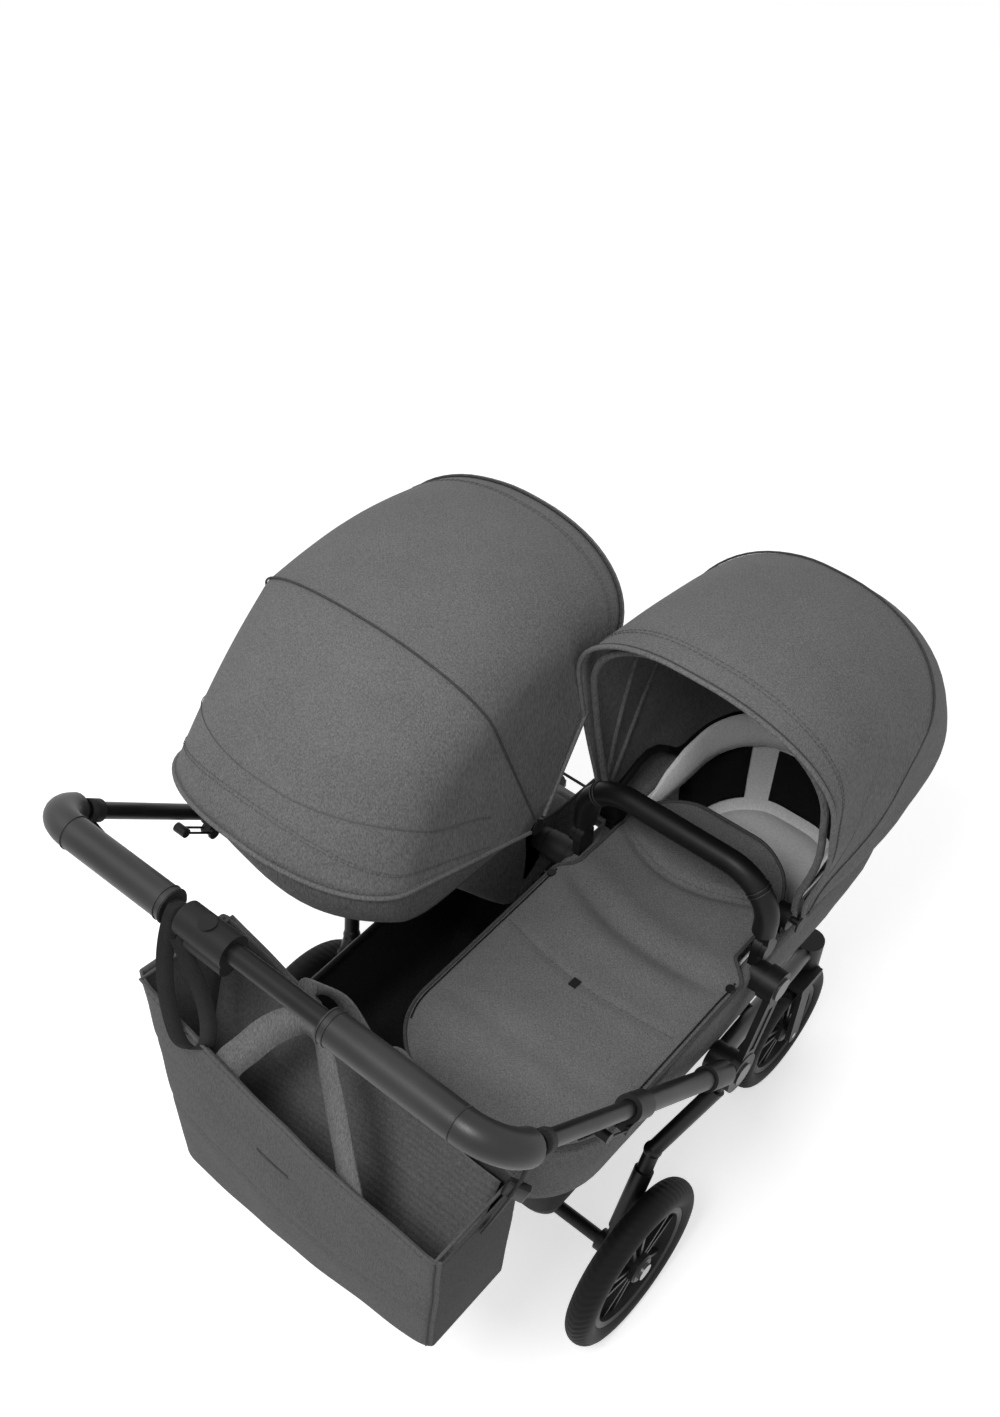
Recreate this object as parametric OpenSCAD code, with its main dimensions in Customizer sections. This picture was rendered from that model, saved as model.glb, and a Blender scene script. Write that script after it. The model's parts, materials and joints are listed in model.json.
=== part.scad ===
/* [Overall layout] */
// Half distance between the two push tubes
push_x = 352; // [350:1:356]
// Side joint, place along travel
joint_y = 17; // [-20:1:60]
// Side joint height
joint_z = 500; // [470:1:530]
// Seat clip, place along travel
clip_y = 75; // [50:1:100]
// Seat clip height
clip_z = 636; // [620:1:650]
// Handlebar, place along travel
bar_y = -502; // [-530:1:-470]
// Handlebar height
bar_z = 957; // [930:1:1000]
// Running clearance on pins
run_fit = 0.05; // [0.02:0.01:0.1]
// Gap between pieces that pass each other
gap = 0.5; // [0.3:0.1:1]

/* [Rear wheels] */
// Tyre outer radius
rear_r = 145; // [130:1:155]
// Tyre width
rear_w = 44; // [36:1:50]
// Wheel middle from the centre line
rear_x = 334; // [333:1:345]
// Axle place along travel
rear_y = -143; // [-170:1:-120]
// Axle pin radius
rear_pin_r = 6; // [5:0.5:8]

/* [Front wheels] */
// Tyre outer radius
front_r = 122; // [105:1:125]
// Tyre width
front_w = 40; // [30:1:44]
// Caster middle from the centre line
caster_x = 262; // [240:1:275]
// Swivel axis place along travel
swivel_y = 410; // [390:1:430]
// Trail of the wheel behind the swivel axis
trail = 40; // [25:1:50]
// Axle pin radius
front_pin_r = 5; // [4:0.5:7]
// Kingpin radius
kingpin_r = 9; // [7:0.5:11]
// Caster housing radius
housing_r = 24; // [20:1:28]

/* [Tubes] */
// Push tube radius, lower part
push_r = 14; // [12:0.5:16]
// Sliding tube radius
slide_r = 11; // [9:0.5:12]
// Front leg radius
front_leg_r = 13; // [11:0.5:15]
// Rear leg radius
rear_leg_r = 12; // [10:0.5:13]
// Cross beam radius
beam_r = 12; // [9:0.5:14]
// Rear axle tube radius
axle_tube_r = 11; // [9:0.5:14]
// Side joint pin radius
joint_pin_r = 8; // [6:0.5:9]

/* [Handlebar] */
// Start of the height clamp along the push tube
clamp_a = 330; // [310:1:350]
// Length of the height clamp
clamp_l = 42; // [36:1:50]
// Grip radius
grip_r = 19; // [15:0.5:22]
// Centre tube radius
centre_r = 13; // [10:0.5:15]
// Corner bend radius
bar_bend = 55; // [45:1:70]
// Inner end of the left grip
grip_left_x = -128; // [-200:1:-115]
// Inner end of the right grip
grip_right_x = 112; // [40:1:140]
// Middle of the lock housing
lock_x = -68; // [-80:1:-50]
// Half length of the lock housing
lock_half = 38; // [30:1:44]
// Depth of the lock housing under the bar
lock_drop = 20; // [16:1:26]
// Hanging length of the wrist strap
wrist_l = 132; // [90:1:136]
// Lean of the wrist strap towards the parent
wrist_lean = 12; // [0:1:13]

/* [Carrycot] */
// Middle of the carrycot from the centre line
cot_x = 172; // [170:1:174]
// Half width at the rim
cot_hw = 152; // [140:1:156]
// Rim end towards the parent
cot_y0 = -349; // [-360:1:-330]
// Rim far end
cot_y1 = 471; // [440:1:480]
// Rim height, middle of the ring
cot_z = 640; // [635:1:645]
// Corner radius at the rim
cot_corner = 120; // [90:1:140]
// Ring tube radius
ring_r = 9; // [7:0.5:10]
// Underside height
cot_floor_z = 446; // [445:1:470]
// Taper from rim to floor on each side
cot_taper = 30; // [20:1:45]
// Shell thickness
shell_t = 5; // [3:0.5:8]
// Mattress thickness
mattress_t = 45; // [30:1:60]
// Apron edge over the hollow, far end
apron_y = 30; // [0:1:60]
// Loose flap of the apron past the handle, far end
flap_y = 236; // [220:1:244]
// Apron crown height over the ring
apron_h = 34; // [20:1:40]
// Apron sheet thickness
apron_t = 4; // [3:0.5:6]

/* [Carry handle] */
// Pivot along travel
handle_y = 85; // [75:1:100]
// Pivot height
handle_z = 684; // [680:1:700]
// Height of the arch over its pivot
handle_h = 118; // [100:1:130]
// Handle tube radius
handle_r = 9; // [7:0.5:10]
// Handle wrap radius
wrap_r = 13; // [11:0.5:15]
// Start of the carry handle tube above its pivot
handle_foot = 16; // [14:1:18]
// Start of the handle wrap above the pivot
wrap_foot = 30; // [26:1:36]
// Bend radius of the handle
handle_bend = 70; // [50:1:90]

/* [Canopies] */
// Cloth thickness
cloth_t = 2.5; // [2:0.5:4]
// Carrycot canopy pivot along travel
cot_can_y = 150; // [140:1:160]
// Carrycot canopy pivot height
cot_can_z = 680; // [672:1:684]
// Carrycot canopy radius
cot_can_r = 400; // [360:1:410]
// Carrycot canopy half width
cot_can_w = 168; // [163:1:169]
// Shoulder radius of both canopies
can_shoulder = 130; // [90:1:150]
// Carrycot canopy front edge angle
cot_can_a1 = 104; // [95:1:108]
// Middle of the seat canopy from the centre line
seat_can_x = -187; // [-188:0.5:-184]
// Seat canopy pivot along travel
seat_can_y = 20; // [10:1:40]
// Seat canopy pivot height above the seat clip
seat_can_up = 94; // [80:1:104]
// Seat canopy radius
seat_can_r = 392; // [360:1:400]
// Room at each side from the seat to the outside of its canopy
seat_can_side = 49; // [40:1:50]
// Seat canopy front edge angle
seat_can_a0 = 60; // [50:1:64]
// Seat canopy rear edge angle
seat_can_a1 = 157.5; // [150:0.5:160]
// Canopy hub radius
hub_r = 13; // [11:0.5:16]
// Canopy hub pin radius
hub_pin_r = 5; // [4:0.5:6]
// Canopy bow depth
bow_t = 7; // [5:0.5:9]

/* [Seat] */
// Middle of the seat from the centre line
seat_x = -178.5; // [-180:0.5:-176]
// Gap between the seat side and the front leg knuckle
seat_clear = 3.3; // [3:0.1:6]
// Backrest top, place along travel
seat_top_y = -205; // [-215:1:-195]
// Backrest top height
seat_top_z = 812; // [800:1:820]
// Crease between back and base, place along travel
seat_crease_y = 20; // [14:1:30]
// Crease height
seat_crease_z = 512; // [508:1:520]
// Front edge of the base, place along travel
seat_front_y = 205; // [195:1:215]
// Front edge height
seat_front_z = 540; // [535:1:548]
// Foot rest end, place along travel
seat_foot_y = 325; // [315:1:335]
// Foot rest end height
seat_foot_z = 432; // [428:1:440]
// Seat shell thickness
seat_t = 8; // [5:0.5:12]
// Seat pad thickness
pad_t = 26; // [18:1:34]
// Seat pivot pin radius
seat_pin_r = 8; // [6:0.5:9]

/* [Basket] */
// Half width
basket_hw = 238; // [200:1:240]
// Rear edge along travel
basket_back = -250; // [-260:1:-170]
// Front edge along travel
basket_front = 250; // [230:1:254]
// Floor height
basket_z = 205; // [200:1:230]
// Wall thickness
basket_t = 3; // [2:0.5:5]
// Rim wire radius
wire_r = 5; // [4:0.5:6]

/* [Bag] */
// Left end
bag_x0 = -150; // [-180:1:-120]
// Right end
bag_x1 = 306; // [280:1:315]
// Rear face along travel
bag_y0 = -550; // [-555:1:-540]
// Depth
bag_d = 163; // [120:1:168]
// Left top height
bag_z_left = 835; // [800:1:850]
// Right top height
bag_z_right = 712; // [690:1:760]
// Floor height
bag_z0 = 455; // [440:1:480]
// Cloth thickness
bag_t = 5; // [3:0.5:8]
// Carry loop outer radius
loop_r = 95; // [80:1:100]

/* [Hidden] */
$fn = 64;
lug_x0 = push_x;
lug_x1 = push_x + 12;
cap_x = push_x + 15;
rear_lug_x0 = push_x - 17.7;
rear_lug_x1 = push_x - 2 * gap;
front_lug_x1 = rear_lug_x0 - gap;
front_lug_x0 = front_lug_x1 - 19;
clip_x0 = push_x - 11;
clip_in = 12.5;
J = [0, joint_y, joint_z];
S = [0, clip_y, clip_z];
push_d = [0, bar_y - joint_y, bar_z - joint_z];
push_l = norm(push_d);
push_u = push_d / push_l;
strut_r = 11.4;
strut_w = 36;
strut_l = norm(S - J);
socket_a = 52;
socket_b = 112;
clamp_b = clamp_a + clamp_l;
rear_axle = [0, rear_y, rear_r];
bracket_x0 = rear_x - rear_w / 2 - 36;
leg_lane_x = rear_x - rear_w / 2 - gap - rear_leg_r - 4;
bracket_x1 = rear_x - rear_w / 2 - gap;
front_axle_y = swivel_y - trail;
crown_z0 = front_r * 2 + 6;
crown_z1 = crown_z0 + 14;
house_z0 = crown_z1 + gap;
house_z1 = house_z0 + 54;
leg_top_x = (front_lug_x0 + front_lug_x1) / 2;
leg_end_z = house_z0 + 27;
beam_t = 0.36;
beam_y = joint_y + beam_t * (swivel_y - joint_y);
beam_z = joint_z + beam_t * (leg_end_z - joint_z);
beam_leg_x = leg_top_x + beam_t * (caster_x - leg_top_x);
rail_z = beam_z - beam_r - wire_r;
bar_tube_x = push_x;
cot_ring_top = cot_z + ring_r;
cot_in_x = cot_x - cot_hw;
cot_out_x = cot_x + cot_hw;
bracket_out = clip_x0 - gap;
bracket_in = clip_in + gap;
can_step = 2 * cloth_t - 0.5;
bow_w = 7;
cot_can_split = 58;
seat_can_split = 111;
seat_out = -clip_x0 + gap;
seat_in = -clip_in - gap;
seat_hw = front_lug_x0 + seat_x - seat_clear;
seat_can_z = clip_z + seat_can_up;
seat_can_w = seat_hw + seat_can_side;
seat_hub_x = seat_hw - abs(seat_can_x - seat_x) - 2;

// Round bar between two points
module rod(a, b, r) {
  d = b - a;
  l = norm(d);
  translate(a)
    rotate([0, acos(d[2] / l), atan2(d[1], d[0])])
      cylinder(h = l, r = r);
}

// Round bar along x
module xrod(x0, x1, y, z, r) {
  translate([min(x0, x1), y, z])
    rotate([0, 90, 0])
      cylinder(h = abs(x1 - x0), r = r);
}

// Point on the push tube axis
function on_push(d, x) = [x, joint_y + push_u[1] * d, joint_z + push_u[2] * d];

// Rounded plate outline for the carrycot
module stadium(hw, y0, y1, c) {
  translate([-hw + c, y0])
    square([2 * (hw - c), y1 - y0]);
  translate([-hw, y0 + c])
    square([2 * hw, y1 - y0 - 2 * c]);
  for (sx = [-1, 1]) {
    translate([sx * (hw - c), y0 + c])
      circle(r = c);
    translate([sx * (hw - c), y1 - c])
      circle(r = c);
  }
}

// Flat ring plate of the carrycot at one height
module cot_plate(z, inset, h) {
  translate([cot_x, 0, z])
    linear_extrude(height = h)
      stadium(cot_hw - inset, cot_y0 + inset, cot_y1 - inset, max(cot_corner - inset, 20));
}

// Outer form of the carrycot body
module cot_form(inset, z0) {
  hull() {
    translate([cot_x, 0, cot_z - ring_r - 1])
      linear_extrude(height = 1)
        stadium(cot_hw - inset, cot_y0 + inset, cot_y1 - inset, cot_corner - inset, $fn = 32);
    translate([cot_x, 0, z0])
      linear_extrude(height = 1)
        stadium(cot_hw - cot_taper - inset, cot_y0 + cot_taper + inset,
          cot_y1 - cot_taper - inset, cot_corner - cot_taper, $fn = 32);
  }
}

// Canopy cross section, radius across and width along y
module can_outline(r, w, c) {
  translate([0, -w])
    square([r - c, 2 * w]);
  translate([0, -w + c])
    square([r, 2 * (w - c)]);
  for (s = [-1, 1])
    translate([r - c, s * (w - c)])
      circle(r = c);
}

// Hollow canopy section with an open hub end
module can_section(r, w, t, inner) {
  difference() {
    can_outline(r, w, can_shoulder);
    translate([-1, 0])
      can_outline(r - t + 1, w - t, can_shoulder - t);
    translate([-1, -w - 1])
      square([inner + 1, 2 * w + 2]);
  }
}

// Canopy panel between two angles about a cross axis
module can_panel(x, y, z, r, w, t, inner, a0, a1) {
  translate([x, y, z])
    rotate([0, 90, 0])
      rotate([0, 0, 90 + a0])
        rotate_extrude(angle = a1 - a0)
          can_section(r, w, t, inner);
}

// Flat bow in the plane of the cross axis at one angle
module can_bow(x, y, z, r, w, t, inner, a) {
  translate([x, y, z])
    rotate([0, 90, 0])
      rotate([0, 0, 90 + a])
        rotate([90, 0, 0])
          translate([0, 0, -bow_t / 2])
            linear_extrude(height = bow_t)
              can_section(r, w, t, inner);
}

// Flat bar from the side joint towards the seat clip
module strut_bar(x0, x1, w, z0, z1) {
  translate([x0, joint_y, joint_z])
    rotate([-atan2(clip_y - joint_y, clip_z - joint_z), 0, 0])
      translate([0, -w / 2, z0])
        cube([x1 - x0, w, z1 - z0]);
}

module elbow_body() {
  difference() {
    union() {
      xrod(lug_x0 - gap / 2, lug_x1, joint_y, joint_z, 32);
      rod(on_push(0, push_x), on_push(socket_a, push_x), strut_r);
      rod(on_push(socket_a - 8, push_x), on_push(socket_b, push_x), push_r + 4);
      strut_bar(lug_x0 + 1.2, lug_x1 - 1.2, strut_w, 0, strut_l);
      xrod(clip_x0, lug_x1, clip_y, clip_z, 25);
    }
    strut_bar(lug_x1 - 3, lug_x1 + 5, strut_w * 0.4, 40, strut_l - 34);
    xrod(front_lug_x0 - 20, lug_x0 - gap / 2, joint_y, joint_z, 33);
    xrod(front_lug_x0, lug_x1 + 20, joint_y, joint_z, joint_pin_r);
    rod(on_push(socket_a, push_x), on_push(socket_b + 10, push_x), push_r);
  }
}

module elbow_right() {
  color([0.12, 0.12, 0.13])
    elbow_body();
}

module elbow_left() {
  color([0.12, 0.12, 0.13])
    mirror([1, 0, 0])
      elbow_body();
}

module joint_caps() {
  color([0.55, 0.56, 0.58])
    for (s = [0, 1])
      mirror([s, 0, 0]) {
        xrod(lug_x1, cap_x, joint_y, joint_z, 17);
        xrod(lug_x1, cap_x, clip_y, clip_z, 17);
      }
}

module joint_pins() {
  color([0.5, 0.5, 0.52])
    for (s = [0, 1])
      mirror([s, 0, 0])
        xrod(front_lug_x0, lug_x1, joint_y, joint_z, joint_pin_r);
}

module push_tubes() {
  color([0.09, 0.09, 0.1])
    for (s = [0, 1])
      mirror([s, 0, 0])
        difference() {
          rod(on_push(socket_a, push_x), on_push(clamp_b - 12, push_x), push_r);
          rod(on_push(socket_a + 20, push_x), on_push(clamp_b + 10, push_x), slide_r + gap);
        }
}

module clamp_collars() {
  color([0.1, 0.1, 0.11])
    for (s = [0, 1])
      mirror([s, 0, 0])
        difference() {
          union() {
            rod(on_push(clamp_a, push_x), on_push(clamp_b, push_x), push_r + 4);
            translate(on_push((clamp_a + clamp_b) / 2, push_x) + [-5, 0, 0])
              rotate([-atan2(-push_u[1], push_u[2]) * -1, 0, 0])
                translate([0, -32, -9])
                  cube([10, 20, 18]);
          }
          rod(on_push(clamp_a - 10, push_x), on_push(clamp_b - 12, push_x), push_r);
          rod(on_push(clamp_a - 10, push_x), on_push(clamp_b + 10, push_x), slide_r + gap);
        }
}

// Place of the clamp lever pin under the push tube
lever_p = on_push((clamp_a + clamp_b) / 2, 0) + [0, -push_u[2] * 28, push_u[1] * 28];

module lever_body() {
  difference() {
    union() {
      for (x = [push_x - 5 - gap - 4, push_x + 5 + gap])
        xrod(x, x + 4, lever_p[1], lever_p[2], 9);
      for (x = [push_x - 5 - gap - 4, push_x + 5 + gap])
        rod([x + 2, lever_p[1], lever_p[2]],
          [x + 2, lever_p[1] + push_u[1] * 62, lever_p[2] + push_u[2] * 62], 1.7);
      xrod(push_x - 5 - gap - 4, push_x + 5 + gap + 4,
        lever_p[1] + push_u[1] * 62, lever_p[2] + push_u[2] * 62, 7);
    }
  }
}

module lever_right() {
  color([0.14, 0.14, 0.15])
    lever_body();
}

module lever_left() {
  color([0.14, 0.14, 0.15])
    mirror([1, 0, 0])
      lever_body();
}

module front_legs() {
  color([0.09, 0.09, 0.1])
    for (s = [0, 1])
      mirror([s, 0, 0])
        difference() {
          union() {
            xrod(front_lug_x0, front_lug_x1, joint_y, joint_z, 23);
            intersection() {
              rod(J + [leg_top_x, 0, 0], [caster_x, swivel_y, leg_end_z], front_leg_r);
              translate([0, 0, 0])
                cube([front_lug_x1, 1000, 1000]);
            }
          }
          xrod(front_lug_x0 - 20, front_lug_x1 + 20, joint_y, joint_z, joint_pin_r);
          translate([caster_x, swivel_y, 0])
            cylinder(h = 1000, r = housing_r);
        }
}

module cross_beam() {
  color([0.09, 0.09, 0.1])
    difference() {
      xrod(-beam_leg_x, beam_leg_x, beam_y, beam_z, beam_r);
      for (s = [-1, 1])
        rod([s * leg_top_x, joint_y, joint_z], [s * caster_x, swivel_y, leg_end_z], front_leg_r);
    }
}

module front_crossbar() {
  color([0.09, 0.09, 0.1])
    difference() {
      xrod(-caster_x, caster_x, swivel_y, leg_end_z, 10);
      for (s = [-1, 1]) {
        translate([s * caster_x, swivel_y, 0])
          cylinder(h = 1000, r = housing_r);
        rod([s * leg_top_x, joint_y, joint_z], [s * caster_x, swivel_y, leg_end_z], front_leg_r);
      }
    }
}

module centre_post() {
  color([0.1, 0.1, 0.11])
    difference() {
      union() {
        rod([0, beam_y, beam_z], S, 10);
        xrod(-clip_in, clip_in, clip_y, clip_z, 22);
      }
      xrod(-60, 60, beam_y, beam_z, beam_r);
    }
}

module caster_housings() {
  color([0.12, 0.12, 0.13])
    for (s = [-1, 1])
      translate([s * caster_x, swivel_y, house_z0])
        difference() {
          cylinder(h = house_z1 - house_z0, r = housing_r);
          translate([0, 0, -1])
            cylinder(h = house_z1 - house_z0 - 5, r = kingpin_r + run_fit);
        }
}

module swivel_lock(s) {
  translate([s * caster_x, swivel_y, house_z0 + 20])
    difference() {
      translate([-9, 12, 0])
        cube([18, housing_r - 4, 16]);
      translate([0, 0, -1])
        cylinder(h = 60, r = housing_r + gap);
    }
}

module swivel_lock_left() {
  color([0.6, 0.6, 0.6])
    swivel_lock(-1);
}

module swivel_lock_right() {
  color([0.6, 0.6, 0.6])
    swivel_lock(1);
}

module fork_body() {
  arm = front_w / 2 + 4;
  difference() {
    union() {
      translate([0, swivel_y, crown_z1 - 1])
        cylinder(h = house_z1 - 8 - crown_z1, r = kingpin_r);
      translate([0, swivel_y, crown_z0])
        cylinder(h = 14, r = housing_r);
      translate([-arm - 9, front_axle_y - 16, crown_z0])
        cube([2 * arm + 18, trail + 20, 14]);
      for (s = [-1, 1])
        translate([s * (arm + 4.5) - 4.5, front_axle_y - 14, front_r])
          cube([9, 28, crown_z0 - front_r + 1]);
      xrod(-arm - 9, -arm, front_axle_y, front_r, 14);
      xrod(arm, arm + 9, front_axle_y, front_r, 14);
    }
    xrod(-arm - 20, arm + 20, front_axle_y, front_r, front_pin_r);
  }
}

module fork_left() {
  color([0.1, 0.1, 0.11])
    translate([-caster_x, 0, 0])
      fork_body();
}

module fork_right() {
  color([0.1, 0.1, 0.11])
    translate([caster_x, 0, 0])
      fork_body();
}

module front_axle(s) {
  xrod(s * caster_x - front_w / 2 - 13, s * caster_x + front_w / 2 + 13, front_axle_y, front_r,
    front_pin_r);
}

module front_axle_left() {
  color([0.6, 0.6, 0.62])
    front_axle(-1);
}

module front_axle_right() {
  color([0.6, 0.6, 0.62])
    front_axle(1);
}

// Tyre with a rounded tread and a seat for the rim
module tyre(r, w, seat_r) {
  rotate([0, 90, 0])
    rotate_extrude($fn = 96)
      difference() {
        union() {
          translate([r - w / 2, 0])
            circle(r = w / 2);
          translate([seat_r, -w / 2 + 5])
            square([r - w / 2 - seat_r, w - 10]);
        }
        translate([0, -w])
          square([seat_r, 2 * w]);
      }
}

// Rim with hub and spokes
module rim(seat_r, w, hub, bore, n) {
  rotate([0, 90, 0])
    difference() {
      union() {
        difference() {
          translate([0, 0, -w / 2 + 6])
            cylinder(h = w - 12, r = seat_r, $fn = 96);
          translate([0, 0, -w])
            cylinder(h = 2 * w, r = seat_r - 10, $fn = 96);
        }
        translate([0, 0, -w / 2])
          cylinder(h = w, r = hub);
        for (i = [0 : n - 1])
          rotate([0, 0, i * 360 / n])
            translate([hub - 4, -9, -7])
              cube([seat_r - hub - 3, 18, 14]);
      }
      translate([0, 0, -w])
        cylinder(h = 2 * w, r = bore + run_fit);
    }
}

module front_tyre_left() {
  color([0.05, 0.05, 0.05])
    translate([-caster_x, front_axle_y, front_r])
      tyre(front_r, front_w, front_r - 34);
}

module front_tyre_right() {
  color([0.05, 0.05, 0.05])
    translate([caster_x, front_axle_y, front_r])
      tyre(front_r, front_w, front_r - 34);
}

module front_rim_left() {
  color([0.2, 0.2, 0.21])
    translate([-caster_x, front_axle_y, front_r])
      rim(front_r - 34, front_w, 22, front_pin_r, 5);
}

module front_rim_right() {
  color([0.2, 0.2, 0.21])
    translate([caster_x, front_axle_y, front_r])
      rim(front_r - 34, front_w, 22, front_pin_r, 5);
}

module rear_leg_body() {
  top = J + [(rear_lug_x0 + rear_lug_x1) / 2, 0, 0];
  end = rear_axle + [leg_lane_x, 0, 0];
  knee = [leg_lane_x, joint_y + (rear_y - joint_y) * 0.5, joint_z + (rear_r - joint_z) * 0.5];
  neck = top + (rear_axle - J) / norm(rear_axle - J) * 44;
  difference() {
    union() {
      xrod(rear_lug_x0, rear_lug_x1, joint_y, joint_z, 25);
      rod(top, neck, 7.5);
      rod(neck, knee, rear_leg_r);
      translate(knee)
        sphere(r = rear_leg_r + 2);
      rod(knee, end, rear_leg_r);
      rod(knee + (end - knee) * 0.2, knee + (end - knee) * 0.8, rear_leg_r + 3);
      xrod(bracket_x0, bracket_x1, rear_y, rear_r, 18);
    }
    xrod(rear_lug_x0 - 20, rear_lug_x1 + 20, joint_y, joint_z, joint_pin_r + run_fit);
    xrod(0, bracket_x0 + 8, rear_y, rear_r, axle_tube_r);
    xrod(bracket_x0 + 8, bracket_x1 + 1, rear_y, rear_r, rear_pin_r);
  }
}

module rear_legs() {
  color([0.09, 0.09, 0.1])
    for (s = [0, 1])
      mirror([s, 0, 0])
        rear_leg_body();
}

module rear_axle_tube() {
  color([0.09, 0.09, 0.1])
    xrod(-bracket_x0 - 8, bracket_x0 + 8, rear_y, rear_r, axle_tube_r);
}

module rear_axle_pins() {
  color([0.6, 0.6, 0.62])
    for (s = [0, 1])
      mirror([s, 0, 0]) {
        xrod(bracket_x0 + 8, rear_x + rear_w / 2 + 5, rear_y, rear_r, rear_pin_r);
        xrod(rear_x + rear_w / 2 + gap, rear_x + rear_w / 2 + 5, rear_y, rear_r, 14);
      }
}

module rear_tyre_left() {
  color([0.05, 0.05, 0.05])
    translate([-rear_x, rear_y, rear_r])
      tyre(rear_r, rear_w, rear_r - 38);
}

module rear_tyre_right() {
  color([0.05, 0.05, 0.05])
    translate([rear_x, rear_y, rear_r])
      tyre(rear_r, rear_w, rear_r - 38);
}

module rear_rim_left() {
  color([0.2, 0.2, 0.21])
    translate([-rear_x, rear_y, rear_r])
      rim(rear_r - 38, rear_w, 24, rear_pin_r, 5);
}

module rear_rim_right() {
  color([0.2, 0.2, 0.21])
    translate([rear_x, rear_y, rear_r])
      rim(rear_r - 38, rear_w, 24, rear_pin_r, 5);
}

module brake_pedal() {
  color([0.6, 0.6, 0.6])
    difference() {
      union() {
        xrod(-25, 25, rear_y, rear_r, axle_tube_r + 5);
        translate([-20, rear_y - 78, rear_r - 4])
          cube([40, 70, 8]);
        xrod(-25, 25, rear_y - 78, rear_r, 6);
      }
      xrod(-35, 35, rear_y, rear_r, axle_tube_r + run_fit);
    }
}

// Side outline of the basket
module basket_side(t) {
  polygon([[basket_back + t, rail_z - wire_r], [basket_back + 40 + t, basket_z + 17 + t],
    [basket_front - 150 - t, basket_z + t], [basket_front - 28 - t, (basket_z + rail_z) / 2 + 22],
    [basket_front - t, rail_z - wire_r]]);
}

module basket() {
  color([0.06, 0.06, 0.07])
    difference() {
      translate([basket_hw, 0, 0])
        rotate([90, 0, -90])
          mirror([1, 0, 0])
            linear_extrude(height = 2 * basket_hw)
              basket_side(0);
      translate([basket_hw - basket_t, 0, 1])
        rotate([90, 0, -90])
          mirror([1, 0, 0])
            linear_extrude(height = 2 * (basket_hw - basket_t))
              basket_side(basket_t);
    }
}

module basket_frame() {
  color([0.1, 0.1, 0.11])
    union() {
      for (s = [-1, 1])
        rod([s * (basket_hw - wire_r), basket_back + wire_r, rail_z],
          [s * (basket_hw - wire_r), basket_front - wire_r, rail_z], wire_r);
      xrod(-basket_hw, basket_hw, basket_back + wire_r, rail_z, wire_r);
      xrod(-basket_hw, basket_hw, basket_front - wire_r, rail_z, wire_r);
    }
}

module slide_tubes() {
  color([0.13, 0.13, 0.14])
    for (s = [0, 1])
      mirror([s, 0, 0])
        rod(on_push(clamp_a - 110, push_x), on_push(push_l - bar_bend, push_x), slide_r);
}

// Handlebar corner in the plane of the push tubes
module bar_corner(r) {
  translate([push_x - bar_bend, bar_y - push_u[1] * bar_bend, bar_z - push_u[2] * bar_bend])
    rotate([atan2(push_u[2], push_u[1]), 0, 0])
      rotate_extrude(angle = 90)
        translate([bar_bend, 0])
          circle(r = r);
}

module grip_right() {
  color([0.07, 0.07, 0.07])
    union() {
      bar_corner(grip_r - 1);
      xrod(grip_right_x, push_x - bar_bend, bar_y, bar_z, grip_r);
    }
}

module grip_left() {
  color([0.07, 0.07, 0.07])
    union() {
      mirror([1, 0, 0])
        bar_corner(grip_r - 1);
      xrod(grip_left_x, -push_x + bar_bend, bar_y, bar_z, grip_r);
    }
}

module centre_tube() {
  color([0.1, 0.1, 0.11])
    difference() {
      xrod(grip_left_x, grip_right_x, bar_y, bar_z, centre_r);
      xrod(lock_x - lock_half, lock_x + lock_half, bar_y, bar_z, centre_r + 20);
    }
}

module lock_housing() {
  color([0.1, 0.1, 0.11])
    difference() {
      union() {
        xrod(lock_x - lock_half, lock_x + lock_half, bar_y, bar_z, centre_r + 9);
        xrod(lock_x - lock_half + 14, lock_x + lock_half - 4, bar_y - 6, bar_z - lock_drop, 15);
      }
      translate([lock_x, bar_y, bar_z + 8])
        cylinder(h = 60, r = 11 + run_fit);
    }
}

module lock_button() {
  color([0.15, 0.15, 0.16])
    translate([lock_x, bar_y, bar_z + 8 + 5])
      cylinder(h = 11, r = 11);
}

module wrist_strap() {
  color([0.08, 0.08, 0.09])
    translate([lock_x - lock_half - 19, bar_y, bar_z])
      rotate([0, 90, 0])
        rotate([0, 0, -wrist_lean])
          linear_extrude(height = 18)
            difference() {
              union() {
                circle(r = centre_r + 2);
                translate([0, -centre_r - 2])
                  square([wrist_l, 2 * centre_r + 4]);
                translate([wrist_l, 0])
                  circle(r = centre_r + 2);
              }
              circle(r = centre_r);
              translate([0, -centre_r])
                square([wrist_l, 2 * centre_r]);
              translate([wrist_l, 0])
                circle(r = centre_r);
            }
}

module bag_outline(t) {
  polygon([[bag_x0 + t, bag_z0 + t], [bag_x1 - 18 - t, bag_z0 + 10 + t],
    [bag_x1 - t, bag_z_right + t], [bag_x0 + t, bag_z_left + t]]);
}

module bag() {
  color([0.33, 0.34, 0.36])
    difference() {
      translate([0, bag_y0 + bag_d, 0])
        rotate([90, 0, 0])
          linear_extrude(height = bag_d)
            bag_outline(0);
      translate([0, bag_y0 + bag_d - bag_t, 0])
        rotate([90, 0, 0])
          linear_extrude(height = bag_d - 2 * bag_t)
            bag_outline(bag_t);
    }
}

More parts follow.
